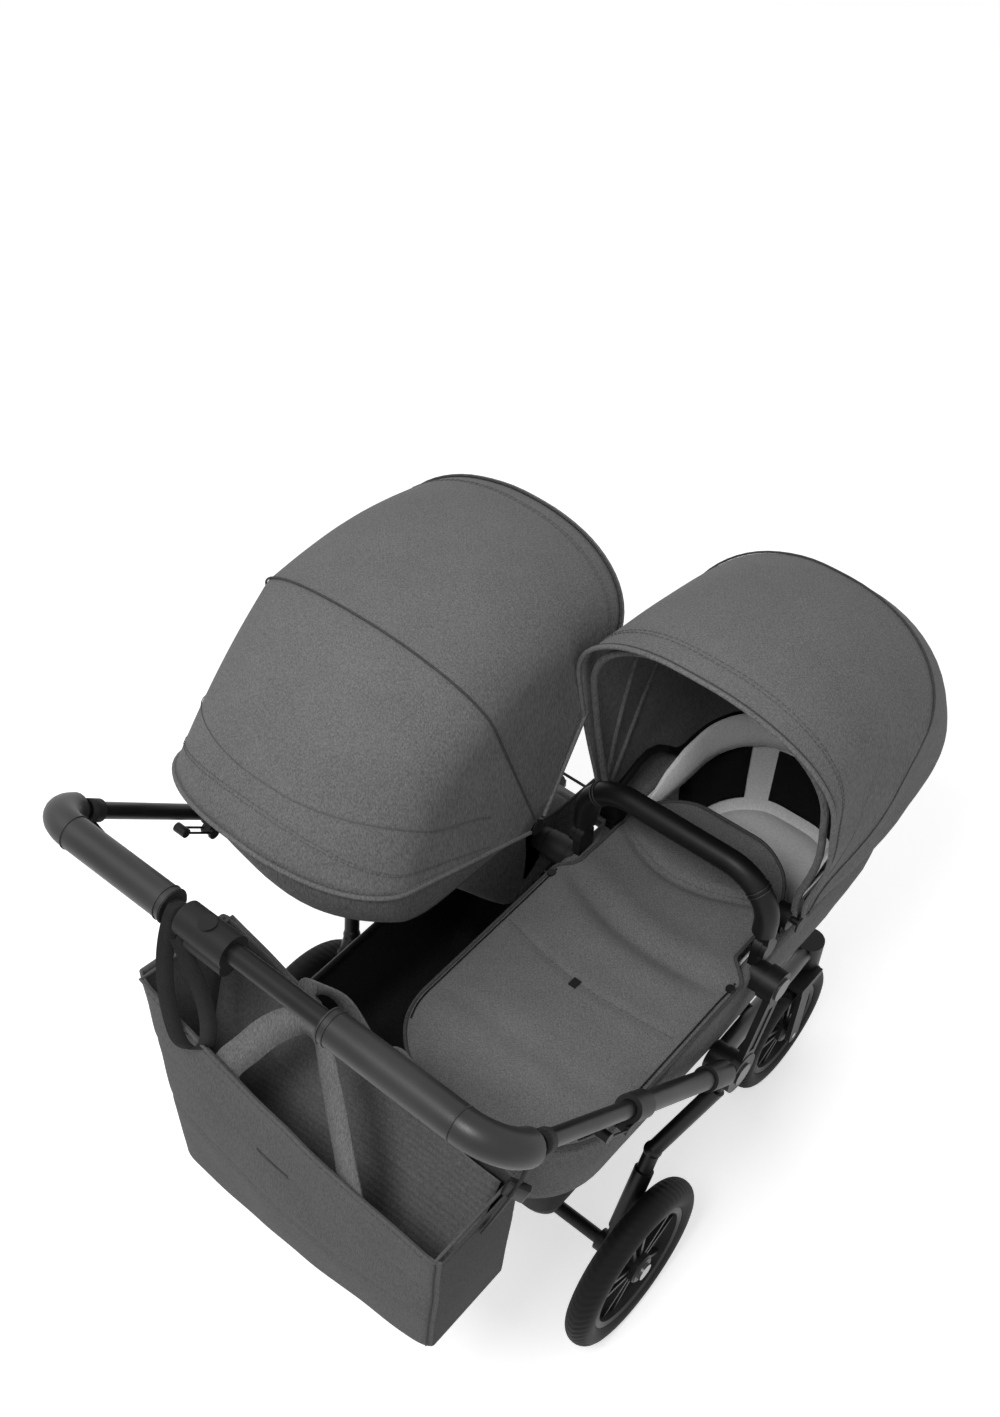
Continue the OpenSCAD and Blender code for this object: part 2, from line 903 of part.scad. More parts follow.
module bag_handles() {
  color([0.3, 0.31, 0.33])
    for (y = [bag_y0 + bag_d - 2 * bag_t + 1, bag_y0 + bag_t])
      translate([(bag_x0 + bag_x1) / 2 - 8, y + 4, bag_z_right - 12])
        rotate([90, 0, 0])
          linear_extrude(height = 4)
            difference() {
              union() {
                circle(r = loop_r);
                translate([-loop_r, -60])
                  square([2 * loop_r, 60]);
              }
              circle(r = loop_r - 25);
              translate([25 - loop_r, -61])
                square([2 * loop_r - 50, 61]);
            }
}

module strap_loop(x, d) {
  difference() {
    rod(on_push(d - 12, x), on_push(d + 12, x), slide_r + 3);
    rod(on_push(d - 30, x), on_push(d + 30, x), slide_r);
  }
}

module bag_straps() {
  strap_d = push_l - bar_bend - 30;
  a = on_push(strap_d, 0) + [0, -push_u[2] * (slide_r + 2), push_u[1] * (slide_r + 2)];
  b = [bag_x0 - 1.6, bag_y0 + bag_d - 53, bag_z_left - 20];
  c = [bag_x1 + 2.2, bag_y0 + bag_d / 2, bag_z_right - 20];
  color([0.08, 0.08, 0.09])
    union() {
      difference() {
        union() {
          strap_loop(push_x, strap_d);
          rod(a + [push_x, 0, 0], c, 3);
        }
        rod(on_push(strap_d - 60, push_x), on_push(strap_d + 60, push_x), slide_r);
      }
      difference() {
        union() {
          strap_loop(-push_x, strap_d);
          rod(a + [-push_x, 0, 0], b, 3);
        }
        rod(on_push(strap_d - 60, -push_x), on_push(strap_d + 60, -push_x), slide_r);
      }
    }
}

module cot_ring() {
  color([0.1, 0.1, 0.11])
    union() {
      difference() {
        cot_plate(cot_z - ring_r, 0, 2 * ring_r);
        translate([0, 0, -1])
          cot_plate(cot_z - ring_r, 2 * ring_r, 2 * ring_r + 2);
      }
      xrod(cot_out_x - 4, bracket_out, clip_y, clip_z, 22);
      xrod(bracket_in, cot_in_x + 4, clip_y, clip_z, 22);
      for (x = [cot_in_x, cot_out_x - 12])
        translate([x, handle_y - 16, cot_z])
          cube([12, 32, handle_z - cot_z]);
      for (x = [cot_in_x, cot_out_x - 12])
        xrod(x, x + 12, handle_y, handle_z, 16);
    }
}

module cot_shell() {
  color([0.36, 0.37, 0.39])
    difference() {
      cot_form(0, cot_floor_z);
      translate([0, 0, 0.01])
        cot_form(shell_t, cot_floor_z + shell_t);
      xrod(-40, 800, clip_y, clip_z, 22);
    }
}

module cot_board() {
  color([0.2, 0.2, 0.2])
    translate([cot_x, 0, cot_floor_z + shell_t + 1])
      linear_extrude(height = 5)
        stadium(cot_hw - cot_taper - shell_t - 4, cot_y0 + cot_taper + shell_t + 4,
          cot_y1 - cot_taper - shell_t - 4, cot_corner - cot_taper - 6);
}

module mattress() {
  m0 = cot_taper + shell_t + 6;
  mz = cot_floor_z + shell_t + 6;
  color([0.72, 0.72, 0.72])
    hull() {
      for (k = [[0, 10], [0.25, 2], [0.62, 0], [0.85, 6], [1, 26]])
        translate([cot_x, 0, mz + k[0] * mattress_t])
          linear_extrude(height = 0.5)
            stadium(cot_hw - m0 - k[1], cot_y0 + m0 + k[1], cot_y1 - m0 - k[1],
              cot_corner - 40 - k[1], $fn = 32);
    }
}

module apron() {
  color([0.38, 0.39, 0.41])
    intersection() {
      difference() {
        hull() {
          cot_plate(cot_ring_top, 1, 6);
          cot_plate(cot_ring_top + apron_h * 0.6, 12, 1);
          cot_plate(cot_ring_top + apron_h, 60, 1);
        }
        hull() {
          cot_plate(cot_ring_top - 1, 1 + apron_t, 6);
          cot_plate(cot_ring_top + apron_h * 0.6 - apron_t, 14, 1);
          cot_plate(cot_ring_top + apron_h - apron_t, 62, 1);
        }
      }
      translate([cot_x, 0, 0])
        linear_extrude(height = 1000)
          union() {
            stadium(cot_hw + 30, cot_y0 - 60, apron_y, 90);
            stadium(cot_hw - 26, apron_y - 200, flap_y, 85);
          }
    }
}

module cot_hubs() {
  color([0.1, 0.1, 0.11])
    for (s = [0, 1])
      translate([cot_x, 0, 0])
        mirror([s, 0, 0])
          difference() {
            union() {
              xrod(cot_hw - 22, cot_can_w - can_step - cloth_t - bow_w - gap, cot_can_y, cot_can_z, 17);
              xrod(cot_hw - 22, cot_can_w, cot_can_y, cot_can_z, hub_pin_r);
              xrod(cot_can_w - cloth_t, cot_can_w, cot_can_y, cot_can_z, hub_r);
              translate([cot_hw - 22, cot_can_y - 12, cot_ring_top])
                cube([16, 24, cot_can_z - cot_ring_top - 8]);
            }
            translate([0, 0, -100])
              translate([-400, -800, 0])
                cube([800, 1600, cot_ring_top + 100]);
          }
}

// Path of the carry handle as bars and bends, its feet a rise above the pivot
module handle_path(r, rise) {
  hw = cot_hw - 6;
  for (s = [0, 1])
    translate([cot_x, 0, 0])
      mirror([s, 0, 0]) {
        rod([hw, handle_y, handle_z + rise], [hw, handle_y, handle_z + handle_h - handle_bend], r);
        translate([hw - handle_bend, handle_y, handle_z + handle_h - handle_bend])
          rotate([90, 0, 0])
            rotate_extrude(angle = 90)
              translate([handle_bend, 0])
                circle(r = r);
      }
  xrod(cot_x - hw + handle_bend, cot_x + hw - handle_bend, handle_y, handle_z + handle_h, r);
}

module carry_handle() {
  color([0.1, 0.1, 0.11])
    union() {
      handle_path(handle_r, handle_foot);
      for (s = [0, 1])
        translate([cot_x, 0, 0])
          mirror([s, 0, 0]) {
            difference() {
              xrod(cot_hw + gap, cot_hw + 8, handle_y, handle_z, 16);
              xrod(cot_hw - 5, cot_hw + 12, handle_y, handle_z, 0.8);
            }
            translate([cot_hw - 12, handle_y - 9, handle_z + handle_foot + 1])
              cube([20, 18, wrap_foot - handle_foot - 2]);
            translate([cot_hw + gap, handle_y - 9, handle_z])
              cube([8 - gap, 18, 28]);
          }
    }
}

module handle_wrap() {
  color([0.07, 0.07, 0.07])
    difference() {
      handle_path(wrap_r, wrap_foot);
      handle_path(handle_r, handle_foot);
    }
}

module cot_canopy_rear() {
  color([0.38, 0.39, 0.41])
    can_panel(cot_x, cot_can_y, cot_can_z, cot_can_r, cot_can_w, cloth_t, hub_r, 0, cot_can_split + 2);
}

module cot_canopy_front() {
  color([0.38, 0.39, 0.41])
    can_panel(cot_x, cot_can_y, cot_can_z, cot_can_r - can_step, cot_can_w - can_step, cloth_t,
      hub_r, cot_can_split, cot_can_a1);
}

module cot_bow() {
  w = cot_can_w - can_step;
  color([0.1, 0.1, 0.11])
    difference() {
      union() {
        can_bow(cot_x, cot_can_y, cot_can_z, cot_can_r - can_step - cloth_t, w - cloth_t, bow_w, 1, cot_can_a1 - 2);
        for (s = [0, 1])
          translate([cot_x, 0, 0])
            mirror([s, 0, 0])
              xrod(w - cloth_t - bow_w + 0.4, w, cot_can_y, cot_can_z, hub_r);
      }
      xrod(cot_x - w - 10, cot_x + w + 10, cot_can_y, cot_can_z, hub_pin_r + run_fit);
    }
}

module seat_clips() {
  color([0.1, 0.1, 0.11])
    union() {
      xrod(seat_out, seat_out + 12, clip_y, clip_z, 21);
      xrod(seat_out, seat_out + 28, clip_y, clip_z, seat_pin_r);
      xrod(seat_in, seat_in - 12, clip_y, clip_z, 21);
      xrod(seat_in, seat_in - 28, clip_y, clip_z, seat_pin_r);
    }
}

// Side outline of the seat shell as back, base and leg rest
module seat_line(t) {
  polygon([[seat_top_y, seat_top_z], [seat_top_y + t, seat_top_z + 0.6 * t],
    [seat_crease_y + 0.5 * t, seat_crease_z + 1.8 * t], [seat_front_y + t * 0.5, seat_front_z + t],
    [seat_foot_y + t * 0.8, seat_foot_z + t * 0.4], [seat_foot_y, seat_foot_z],
    [seat_front_y, seat_front_z], [seat_crease_y, seat_crease_z]]);
}

// Side wing of the seat, low at the knees and high at the head
module seat_wing() {
  polygon([[seat_top_y, seat_top_z], [seat_crease_y, seat_crease_z], [seat_front_y, seat_front_z],
    [seat_front_y + 34, seat_front_z - 30], [seat_front_y + 24, seat_front_z + 60],
    [seat_front_y + 4, clip_z + 24], [clip_y + 60, clip_z + 40], [seat_can_y + 26, seat_can_z - 6],
    [seat_can_y - 14, seat_can_z + 20], [seat_can_y - 60, seat_top_z - 30], [seat_top_y + 40, seat_top_z + 28]]);
}

// Cushion lying on z = 0 with drawn-in edges and a crown
module cushion(l, w, t, c) {
  hull()
    for (k = [[0, 7], [0.3, 0], [0.65, 2], [1, 18]])
      translate([0, 0, k[0] * (t - 0.5)])
        linear_extrude(height = 0.5)
          stadium(w / 2 - k[1], k[1], l - k[1], c - k[1], $fn = 32);
}

module seat_slab(x0, x1) {
  translate([x1, 0, 0])
    rotate([90, 0, -90])
      mirror([1, 0, 0])
        linear_extrude(height = x1 - x0)
          children();
}

module seat_shell() {
  color([0.3, 0.31, 0.33])
    difference() {
      union() {
        seat_slab(seat_x - seat_hw, seat_x + seat_hw)
          seat_line(seat_t);
        for (x = [seat_x - seat_hw, seat_x + seat_hw - seat_t])
          seat_slab(x, x + seat_t)
            seat_wing();
        xrod(seat_out + 12 + gap, seat_x - seat_hw + 1, clip_y, clip_z, 19);
        xrod(seat_x + seat_hw - 1, seat_in - 12 - gap, clip_y, clip_z, 19);
        for (s = [0, 1])
          translate([seat_can_x, 0, 0])
            mirror([s, 0, 0]) {
              xrod(seat_hub_x, seat_can_w - can_step - cloth_t - bow_w - gap, seat_can_y, seat_can_z, 17);
              xrod(seat_hub_x, seat_can_w, seat_can_y, seat_can_z, hub_pin_r);
              xrod(seat_can_w - cloth_t, seat_can_w, seat_can_y, seat_can_z, hub_r);
              xrod(seat_hub_x, seat_can_w - cloth_t, seat_top_y + 35, seat_top_z + 6, 6);
            }
      }
      xrod(seat_out, seat_in, clip_y, clip_z, seat_pin_r + run_fit);
    }
}

module seat_pad() {
  w = 2 * (seat_hw - seat_t - 6);
  back = [seat_crease_y - seat_top_y - 0.5 * seat_t, seat_crease_z - seat_top_z + 1.2 * seat_t];
  base = [seat_front_y - seat_crease_y, seat_front_z - seat_crease_z - 0.8 * seat_t];
  back_l = norm(back) - 48;
  base_l = norm(base) - 30;
  color([0.3, 0.31, 0.33])
    union() {
      translate([seat_x, seat_top_y + seat_t, seat_top_z + 0.6 * seat_t])
        rotate([atan2(back[1], back[0]), 0, 0])
          translate([0, 12, 0.5])
            difference() {
              cushion(back_l, w, pad_t, 60);
              for (k = [0.25, 0.5, 0.75])
                translate([0, k * back_l, pad_t + 3])
                  rotate([0, 90, 0])
                    cylinder(h = w + 40, r = 8, center = true);
            }
      translate([seat_x, seat_crease_y + 0.5 * seat_t, seat_crease_z + 1.8 * seat_t])
        rotate([atan2(base[1], base[0]), 0, 0])
          translate([0, 15, 0.5])
            cushion(base_l, w, pad_t, 50);
    }
}

module seat_canopy_rear() {
  color([0.38, 0.39, 0.41])
    can_panel(seat_can_x, seat_can_y, seat_can_z, seat_can_r, seat_can_w, cloth_t, hub_r,
      seat_can_split, seat_can_a1);
}

module seat_canopy_front() {
  color([0.38, 0.39, 0.41])
    can_panel(seat_can_x, seat_can_y, seat_can_z, seat_can_r - can_step, seat_can_w - can_step, cloth_t,
      hub_r, seat_can_a0, seat_can_split + 2);
}

module seat_bow() {
  w = seat_can_w - can_step;
  color([0.1, 0.1, 0.11])
    difference() {
      union() {
        can_bow(seat_can_x, seat_can_y, seat_can_z, seat_can_r - can_step - cloth_t, w - cloth_t, bow_w, 1, seat_can_a0 + 2);
        for (s = [0, 1])
          translate([seat_can_x, 0, 0])
            mirror([s, 0, 0])
              xrod(w - cloth_t - bow_w + 0.4, w, seat_can_y, seat_can_z, hub_r);
      }
      xrod(seat_can_x - w - 10, seat_can_x + w + 10, seat_can_y, seat_can_z, hub_pin_r + run_fit);
    }
}

elbow_left();
elbow_right();
joint_caps();
joint_pins();
push_tubes();
clamp_collars();
lever_left();
lever_right();
front_legs();
cross_beam();
front_crossbar();
centre_post();
caster_housings();
swivel_lock_left();
swivel_lock_right();
fork_left();
fork_right();
front_axle_left();
front_axle_right();
front_tyre_left();
front_tyre_right();
front_rim_left();
front_rim_right();
rear_legs();
rear_axle_tube();
rear_axle_pins();
rear_tyre_left();
rear_tyre_right();
rear_rim_left();
rear_rim_right();
brake_pedal();
basket();
basket_frame();
slide_tubes();
grip_left();
grip_right();
centre_tube();
lock_housing();
lock_button();
wrist_strap();
bag();
bag_handles();
bag_straps();
cot_ring();
cot_shell();
cot_board();
mattress();
apron();
cot_hubs();
carry_handle();
handle_wrap();
cot_canopy_rear();
cot_canopy_front();
cot_bow();
seat_clips();
seat_shell();
seat_pad();
seat_canopy_rear();
seat_canopy_front();
seat_bow();
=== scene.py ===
import bpy
import bmesh
import json
import math
from mathutils import Vector, Matrix, noise


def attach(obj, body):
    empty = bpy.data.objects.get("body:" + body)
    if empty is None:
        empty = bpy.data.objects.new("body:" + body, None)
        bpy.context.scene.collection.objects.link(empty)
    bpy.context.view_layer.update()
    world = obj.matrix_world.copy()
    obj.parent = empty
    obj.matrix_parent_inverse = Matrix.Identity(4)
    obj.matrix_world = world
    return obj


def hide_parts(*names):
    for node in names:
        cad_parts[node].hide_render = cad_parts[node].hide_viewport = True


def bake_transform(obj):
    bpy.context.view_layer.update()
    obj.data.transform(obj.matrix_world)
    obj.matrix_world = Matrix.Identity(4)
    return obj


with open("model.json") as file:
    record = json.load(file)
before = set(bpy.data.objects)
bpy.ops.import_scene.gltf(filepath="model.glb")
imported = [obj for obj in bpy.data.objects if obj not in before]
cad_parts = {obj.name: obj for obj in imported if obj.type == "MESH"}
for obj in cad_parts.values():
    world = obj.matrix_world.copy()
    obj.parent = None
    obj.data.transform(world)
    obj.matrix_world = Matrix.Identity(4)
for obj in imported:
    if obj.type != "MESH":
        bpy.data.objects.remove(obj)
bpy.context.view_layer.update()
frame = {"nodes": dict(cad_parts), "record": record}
scene = bpy.context.scene
scene.view_settings.view_transform = "Standard"


def mm(x, y, z):
    return Vector((x, y, z)) / 1000


# camera from the photograph: place, heading, tilt and framing shift
cameraSet = {"place": mm(832.9, -1157.2, 2395.2), "turn": 40.9, "down": 48.27, "lens": 41.19,
             "shift": (0.0442, 0.0659)}
camData = bpy.data.cameras.new("photoCamera")
camera = bpy.data.objects.new("photoCamera", camData)
scene.collection.objects.link(camera)
camera.location = cameraSet["place"]
camera.rotation_euler = (math.radians(90 - cameraSet["down"]), 0, math.radians(cameraSet["turn"]))
camData.sensor_width = 36
camData.lens = cameraSet["lens"]
camData.shift_x, camData.shift_y = cameraSet["shift"]
camData.clip_end = 100
scene.camera = camera
print("camera set")


def linear(code):
    parts = [int(code[i:i + 2], 16) / 255 for i in (0, 2, 4)]
    return tuple(c / 12.92 if c <= 0.04045 else ((c + 0.055) / 1.055) ** 2.4 for c in parts) + (1.0,)


def addNode(tree, kind, values=None, links=None, **settings):
    made = tree.nodes.new(kind)
    for key, value in settings.items():
        setattr(made, key, value)
    for key, value in (values or {}).items():
        made.inputs[key].default_value = value
    for key, source in (links or {}).items():
        tree.links.new(source, made.inputs[key])
    return made


def startMaterial(name):
    material = bpy.data.materials.new(name)
    material.use_nodes = True
    tree = material.node_tree
    shader = tree.nodes["Principled BSDF"]
    place = addNode(tree, "ShaderNodeTexCoord").outputs["Object"]
    return material, tree, shader, place


def wovenCloth(name, dark, light, threadMm, streak, bump, rough, sheen):
    # fine thread ridges and heathered streaks (width, length in mm), drawn coarser than life so that they show
    material, tree, shader, place = startMaterial(name)
    waveScale = 0.314 / (threadMm / 1000)
    warp = addNode(tree, "ShaderNodeTexWave", {"Scale": waveScale, "Distortion": 1.2, "Detail": 1.0,
                   "Detail Scale": 3.0}, {"Vector": place}, bands_direction="X")
    weft = addNode(tree, "ShaderNodeTexWave", {"Scale": waveScale, "Distortion": 1.2, "Detail": 1.0,
                   "Detail Scale": 3.0}, {"Vector": place}, bands_direction="DIAGONAL")
    turned = addNode(tree, "ShaderNodeMapping", {"Rotation": (0.5, 0.35, 0.6),
                     "Scale": (1000 / streak[0], 1000 / streak[0], 1000 / streak[1])}, {"Vector": place})
    fleck = addNode(tree, "ShaderNodeTexNoise", {"Scale": 1.0, "Detail": 3.0, "Roughness": 0.65},
                    {"Vector": turned.outputs["Vector"]})
    cloud = addNode(tree, "ShaderNodeTexNoise", {"Scale": 14.0, "Detail": 2.0}, {"Vector": place})
    soften = addNode(tree, "ShaderNodeMath", {1: 0.12}, {0: cloud.outputs["Fac"]}, operation="MULTIPLY")
    spread = addNode(tree, "ShaderNodeMath", {}, {0: fleck.outputs["Fac"], 1: soften.outputs[0]},
                     operation="ADD")
    ramp = addNode(tree, "ShaderNodeValToRGB", {}, {"Fac": spread.outputs[0]})
    ramp.color_ramp.elements[0].position = 0.36
    ramp.color_ramp.elements[0].color = linear(dark)
    ramp.color_ramp.elements[1].position = 0.76
    ramp.color_ramp.elements[1].color = linear(light)
    tree.links.new(ramp.outputs["Color"], shader.inputs["Base Color"])
    weave = addNode(tree, "ShaderNodeMath", {}, {0: warp.outputs["Fac"], 1: weft.outputs["Fac"]},
                    operation="MULTIPLY")
    height = addNode(tree, "ShaderNodeMath", {}, {0: weave.outputs[0], 1: fleck.outputs["Fac"]},
                     operation="ADD")
    raised = addNode(tree, "ShaderNodeBump", {"Strength": 0.55, "Distance": bump / 1000},
                     {"Height": height.outputs[0]})
    tree.links.new(raised.outputs["Normal"], shader.inputs["Normal"])
    shader.inputs["Roughness"].default_value = rough
    shader.inputs["Specular IOR Level"].default_value = 0.2
    shader.inputs["Sheen Weight"].default_value = sheen
    shader.inputs["Sheen Roughness"].default_value = 0.5
    return material


def grained(name, dark, light, grainMm, bump, roughLow, roughHigh, shine=0.25, metal=0.0):
    # moulded, coated or skinned surfaces: fine grain, with gloss that varies a little
    material, tree, shader, place = startMaterial(name)
    grain = addNode(tree, "ShaderNodeTexVoronoi", {"Scale": 1000 / grainMm}, {"Vector": place})
    soft = addNode(tree, "ShaderNodeTexNoise", {"Scale": 9.0, "Detail": 4.0}, {"Vector": place})
    ramp = addNode(tree, "ShaderNodeValToRGB", {}, {"Fac": soft.outputs["Fac"]})
    ramp.color_ramp.elements[0].position = 0.35
    ramp.color_ramp.elements[0].color = linear(dark)
    ramp.color_ramp.elements[1].position = 0.7
    ramp.color_ramp.elements[1].color = linear(light)
    tree.links.new(ramp.outputs["Color"], shader.inputs["Base Color"])
    gloss = addNode(tree, "ShaderNodeMapRange", {"From Min": 0.3, "From Max": 0.7, "To Min": roughLow,
                    "To Max": roughHigh}, {"Value": soft.outputs["Fac"]})
    tree.links.new(gloss.outputs["Result"], shader.inputs["Roughness"])
    raised = addNode(tree, "ShaderNodeBump", {"Strength": 0.5, "Distance": bump / 1000},
                     {"Height": grain.outputs["Distance"]})
    tree.links.new(raised.outputs["Normal"], shader.inputs["Normal"])
    shader.inputs["Metallic"].default_value = metal
    shader.inputs["Specular IOR Level"].default_value = shine
    return material


# wool-blend melange, plain woven: matt mid grey with paler and darker flecks
melange = wovenCloth("melangeWoolCloth", "525252", "7a7a7a", 3.2, (1.8, 9), 0.4, 0.9, 0.04)
# the same cloth on the bodies below the canopies, painted a shade deeper: painted shade
melangeShaded = wovenCloth("melangeWoolClothPaintedShade", "444444", "707070", 3.2, (1.8, 9), 0.5, 0.9, 0.04)
# brushed canvas: flat and even; its end panel is the same canvas painted darker, as painted shade
bagCanvas = wovenCloth("brushedBagCanvas", "4a4a4a", "626262", 3.2, (1.8, 7), 0.25, 0.92, 0.03)
bagCanvasShadeSide = wovenCloth("brushedBagCanvasPaintedShade", "3a3a3a", "4c4c4c", 3.2, (1.8, 7), 0.25, 0.92, 0.03)
# brushed cotton: near white, soft, no gloss
linerCloth = wovenCloth("brushedCottonLiner", "cfcfcf", "e6e6e6", 2.4, (3, 4), 0.3, 0.95, 0.1)
# thin lining with a fine stripe, paler than the canvas round it
bagLining = wovenCloth("stripedBagLining", "565656", "707070", 2.4, (3, 4), 0.3, 0.9, 0.05)
# nylon canvas and polyester webbing: near black, with a faint sheen on the threads
basketCloth = wovenCloth("nylonCanvas", "1e1e1e", "303030", 2.2, (3, 3), 0.35, 0.75, 0.02)
webbing = wovenCloth("polyesterWebbing", "0c0c0c", "202020", 2.0, (2, 2), 0.5, 0.7, 0.02)
# sewing thread and woven piping: thin lines that stand out on the cloth
threadCloth = wovenCloth("sewingThread", "4a4a4a", "6c6c6c", 1.5, (1.5, 1.5), 0.2, 0.8, 0.0)
pipingCloth = wovenCloth("wovenPiping", "333333", "505050", 2.0, (2, 2), 0.3, 0.85, 0.0)
# knitted mesh: black, with open loops that catch little light
windowMesh = wovenCloth("knittedMesh", "0a0a0a", "191919", 2.6, (2, 2), 0.6, 0.85, 0.0)
# leatherette: fine pores and a soft, wide highlight, calmer on the carry handle, whose copy is painted darker as
# painted shade
leather = grained("embossedLeatherette", "171717", "272727", 1.6, 0.15, 0.36, 0.48, 0.45)
handleShadedLeather = grained("leatheretteHandlePaintedShade", "0c0c0c", "161616", 1.6, 0.12, 0.4, 0.52, 0.22)
# powder-coated aluminium tubes and moulded nylon joints: black satin, the nylon duller
powderCoat = grained("powderCoatedAluminium", "0e0e0e", "171717", 1.0, 0.06, 0.34, 0.46)
nylon = grained("mouldedNylon", "0d0d0d", "181818", 1.2, 0.08, 0.42, 0.56)
# satin grey plastic for caps and pedals
capGrey = grained("satinGreyPlastic", "3a3a3a", "4e4e4e", 1.4, 0.04, 0.3, 0.4)
# foam-filled rubber: dull black with a dusty grain; the rims' filled nylon is greyer and smoother
rubber = grained("foamFilledRubber", "0c0c0c", "161616", 1.8, 0.15, 0.6, 0.75, 0.2)
rimPlastic = grained("glassFilledNylonRim", "181818", "2a2a2a", 1.4, 0.06, 0.38, 0.5)
# brushed steel: pale metal with a fine blur
steel = grained("brushedSteel", "8d8d8d", "b0b0b0", 0.8, 0.03, 0.25, 0.4, 0.5, metal=1.0)
slotLook = {"black_paint": powderCoat, "black_plastic": nylon, "grey_plastic": capGrey, "steel": steel,
            "tyre": rubber, "black_leather": leather, "grey_fabric": melange,
            "light_fabric": linerCloth, "black_fabric": basketCloth}
print("materials made")

# the CAD nodes keep their shapes and take the new finishes
for sub in frame["record"]["subparts"]:
    look = slotLook[sub["material_slot"]]
    if "rim" in sub["node"]:
        look = rimPlastic
    node = frame["nodes"][sub["node"]]
    node.data.materials.clear()
    node.data.materials.append(look)


def makePiece(bm, name, look, smooth=True, thick=0.0, offset=-1.0, levels=0):
    data = bpy.data.meshes.new(name)
    bm.to_mesh(data)
    bm.free()
    piece = bpy.data.objects.new(name, data)
    scene.collection.objects.link(piece)
    data.materials.append(look)
    if levels:
        sub = piece.modifiers.new("smooth", "SUBSURF")
        sub.levels = sub.render_levels = levels
    if thick:
        wall = piece.modifiers.new("wall", "SOLIDIFY")
        wall.thickness = thick / 1000
        wall.offset = offset
    if levels or thick:
        bpy.context.view_layer.update()
        shaped = bpy.data.meshes.new_from_object(piece.evaluated_get(bpy.context.evaluated_depsgraph_get()))
        piece.modifiers.clear()
        piece.data = shaped
        shaped.name = name
    if smooth:
        for face in piece.data.polygons:
            face.use_smooth = True
    return piece


def dress(piece, body, slot, *nodes):
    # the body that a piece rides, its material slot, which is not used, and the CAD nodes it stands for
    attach(piece, body)
    if nodes:
        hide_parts(*nodes)


def carryEdges(bm, edges):
    # extrude a run of edges: the new vertices and the new run, still where the old one is
    made = bmesh.ops.extrude_edge_only(bm, edges=edges)["geom"]
    verts = [g for g in made if isinstance(g, bmesh.types.BMVert)]
    return verts, [g for g in made if isinstance(g, bmesh.types.BMEdge) and all(v in verts for v in g.verts)]


def chain(bm, points, closed=False):
    verts = [bm.verts.new(p) for p in points]
    edges = [bm.edges.new(pair) for pair in zip(verts, verts[1:])]
    if closed:
        edges.append(bm.edges.new((verts[-1], verts[0])))
    return verts, edges


def tubePiece(name, runs, radius, look, closed=False, resolution=3):
    # piping, thread and straps: a bevelled curve turned to mesh
    curve = bpy.data.curves.new(name, "CURVE")
    curve.dimensions = "3D"
    curve.bevel_depth = radius / 1000
    curve.bevel_resolution = resolution
    curve.use_fill_caps = True
    for points in runs:
        spline = curve.splines.new("POLY")
        spline.points.add(len(points) - 1)
        for slot, point in zip(spline.points, points):
            slot.co = (*point, 1)
        spline.use_cyclic_u = closed
    holder = bpy.data.objects.new(name + "Curve", curve)
    scene.collection.objects.link(holder)
    bpy.context.view_layer.update()
    data = bpy.data.meshes.new_from_object(holder.evaluated_get(bpy.context.evaluated_depsgraph_get()))
    bpy.data.objects.remove(holder)
    data.name = name
    data.materials.clear()
    data.materials.append(look)
    for face in data.polygons:
        face.use_smooth = True
    piece = bpy.data.objects.new(name, data)
    scene.collection.objects.link(piece)
    return piece


def stitchRuns(points, dashMm=5.0, gapMm=3.0):
    # cut a polyline into thread dashes
    runs, run, left, drawing = [], [points[0]], dashMm / 1000, True
    for a, b in zip(points, points[1:]):
        a, b = Vector(a), Vector(b)
        while (b - a).length > left:
            a = a + (b - a).normalized() * left
            if drawing:
                run.append(a)
                runs.append(run)
            run = [a]
            drawing = not drawing
            left = (dashMm if drawing else gapMm) / 1000
        left -= (b - a).length
        if drawing:
            run.append(b)
    return [r for r in runs if len(r) > 1]


def stitching(name, lines):
    return tubePiece(name, [run for line in lines for run in stitchRuns(line)], 0.55, threadCloth, resolution=1)


def ease(t):
    t = min(1.0, max(0.0, t))
    return t * t * (3 - 2 * t)


# canopies: one continuous sheet spun about the hub line, with bows holding it out
seatHood = {"name": "seatCanopy", "x": -190, "y": 18, "z": 732, "radius": 394, "half": 186,
            "shoulder": 112, "side": 168, "from": 60, "to": 157.5, "bows": (60.5, 111, 157.5), "sag": 9,
            "bodies": ("seat", "seat_canopy"), "blendAt": (111, 64), "front": 60, "tuck": 0, "rest": 0,
            "swell": (7, 0, 0), "flat": (0.98, 0.67), "cloth": 0.425, "nip": 0, "crown": 3, "pucker": 2.2,
            "nodes": ("seat_canopy_rear", "seat_canopy_front"), "bow": "seat_bow"}
cotHood = {"name": "cotCanopy", "x": 172, "y": 152, "z": 682, "radius": 404, "half": 168,
           "shoulder": 140, "side": 150, "from": -8, "to": 103.5, "bows": (-8, 58, 103), "sag": 11,
           "bodies": ("carrycot", "cot_canopy"), "blendAt": (58, 100), "front": 103.5, "tuck": 66, "rest": 648,
           "swell": (8, 30, 24), "flat": (1.04, 0.83), "cloth": 0.522, "nip": 17, "crown": 3, "pucker": 2.2,
           "nodes": ("cot_canopy_rear", "cot_canopy_front"), "bow": "cotMouthBow"}


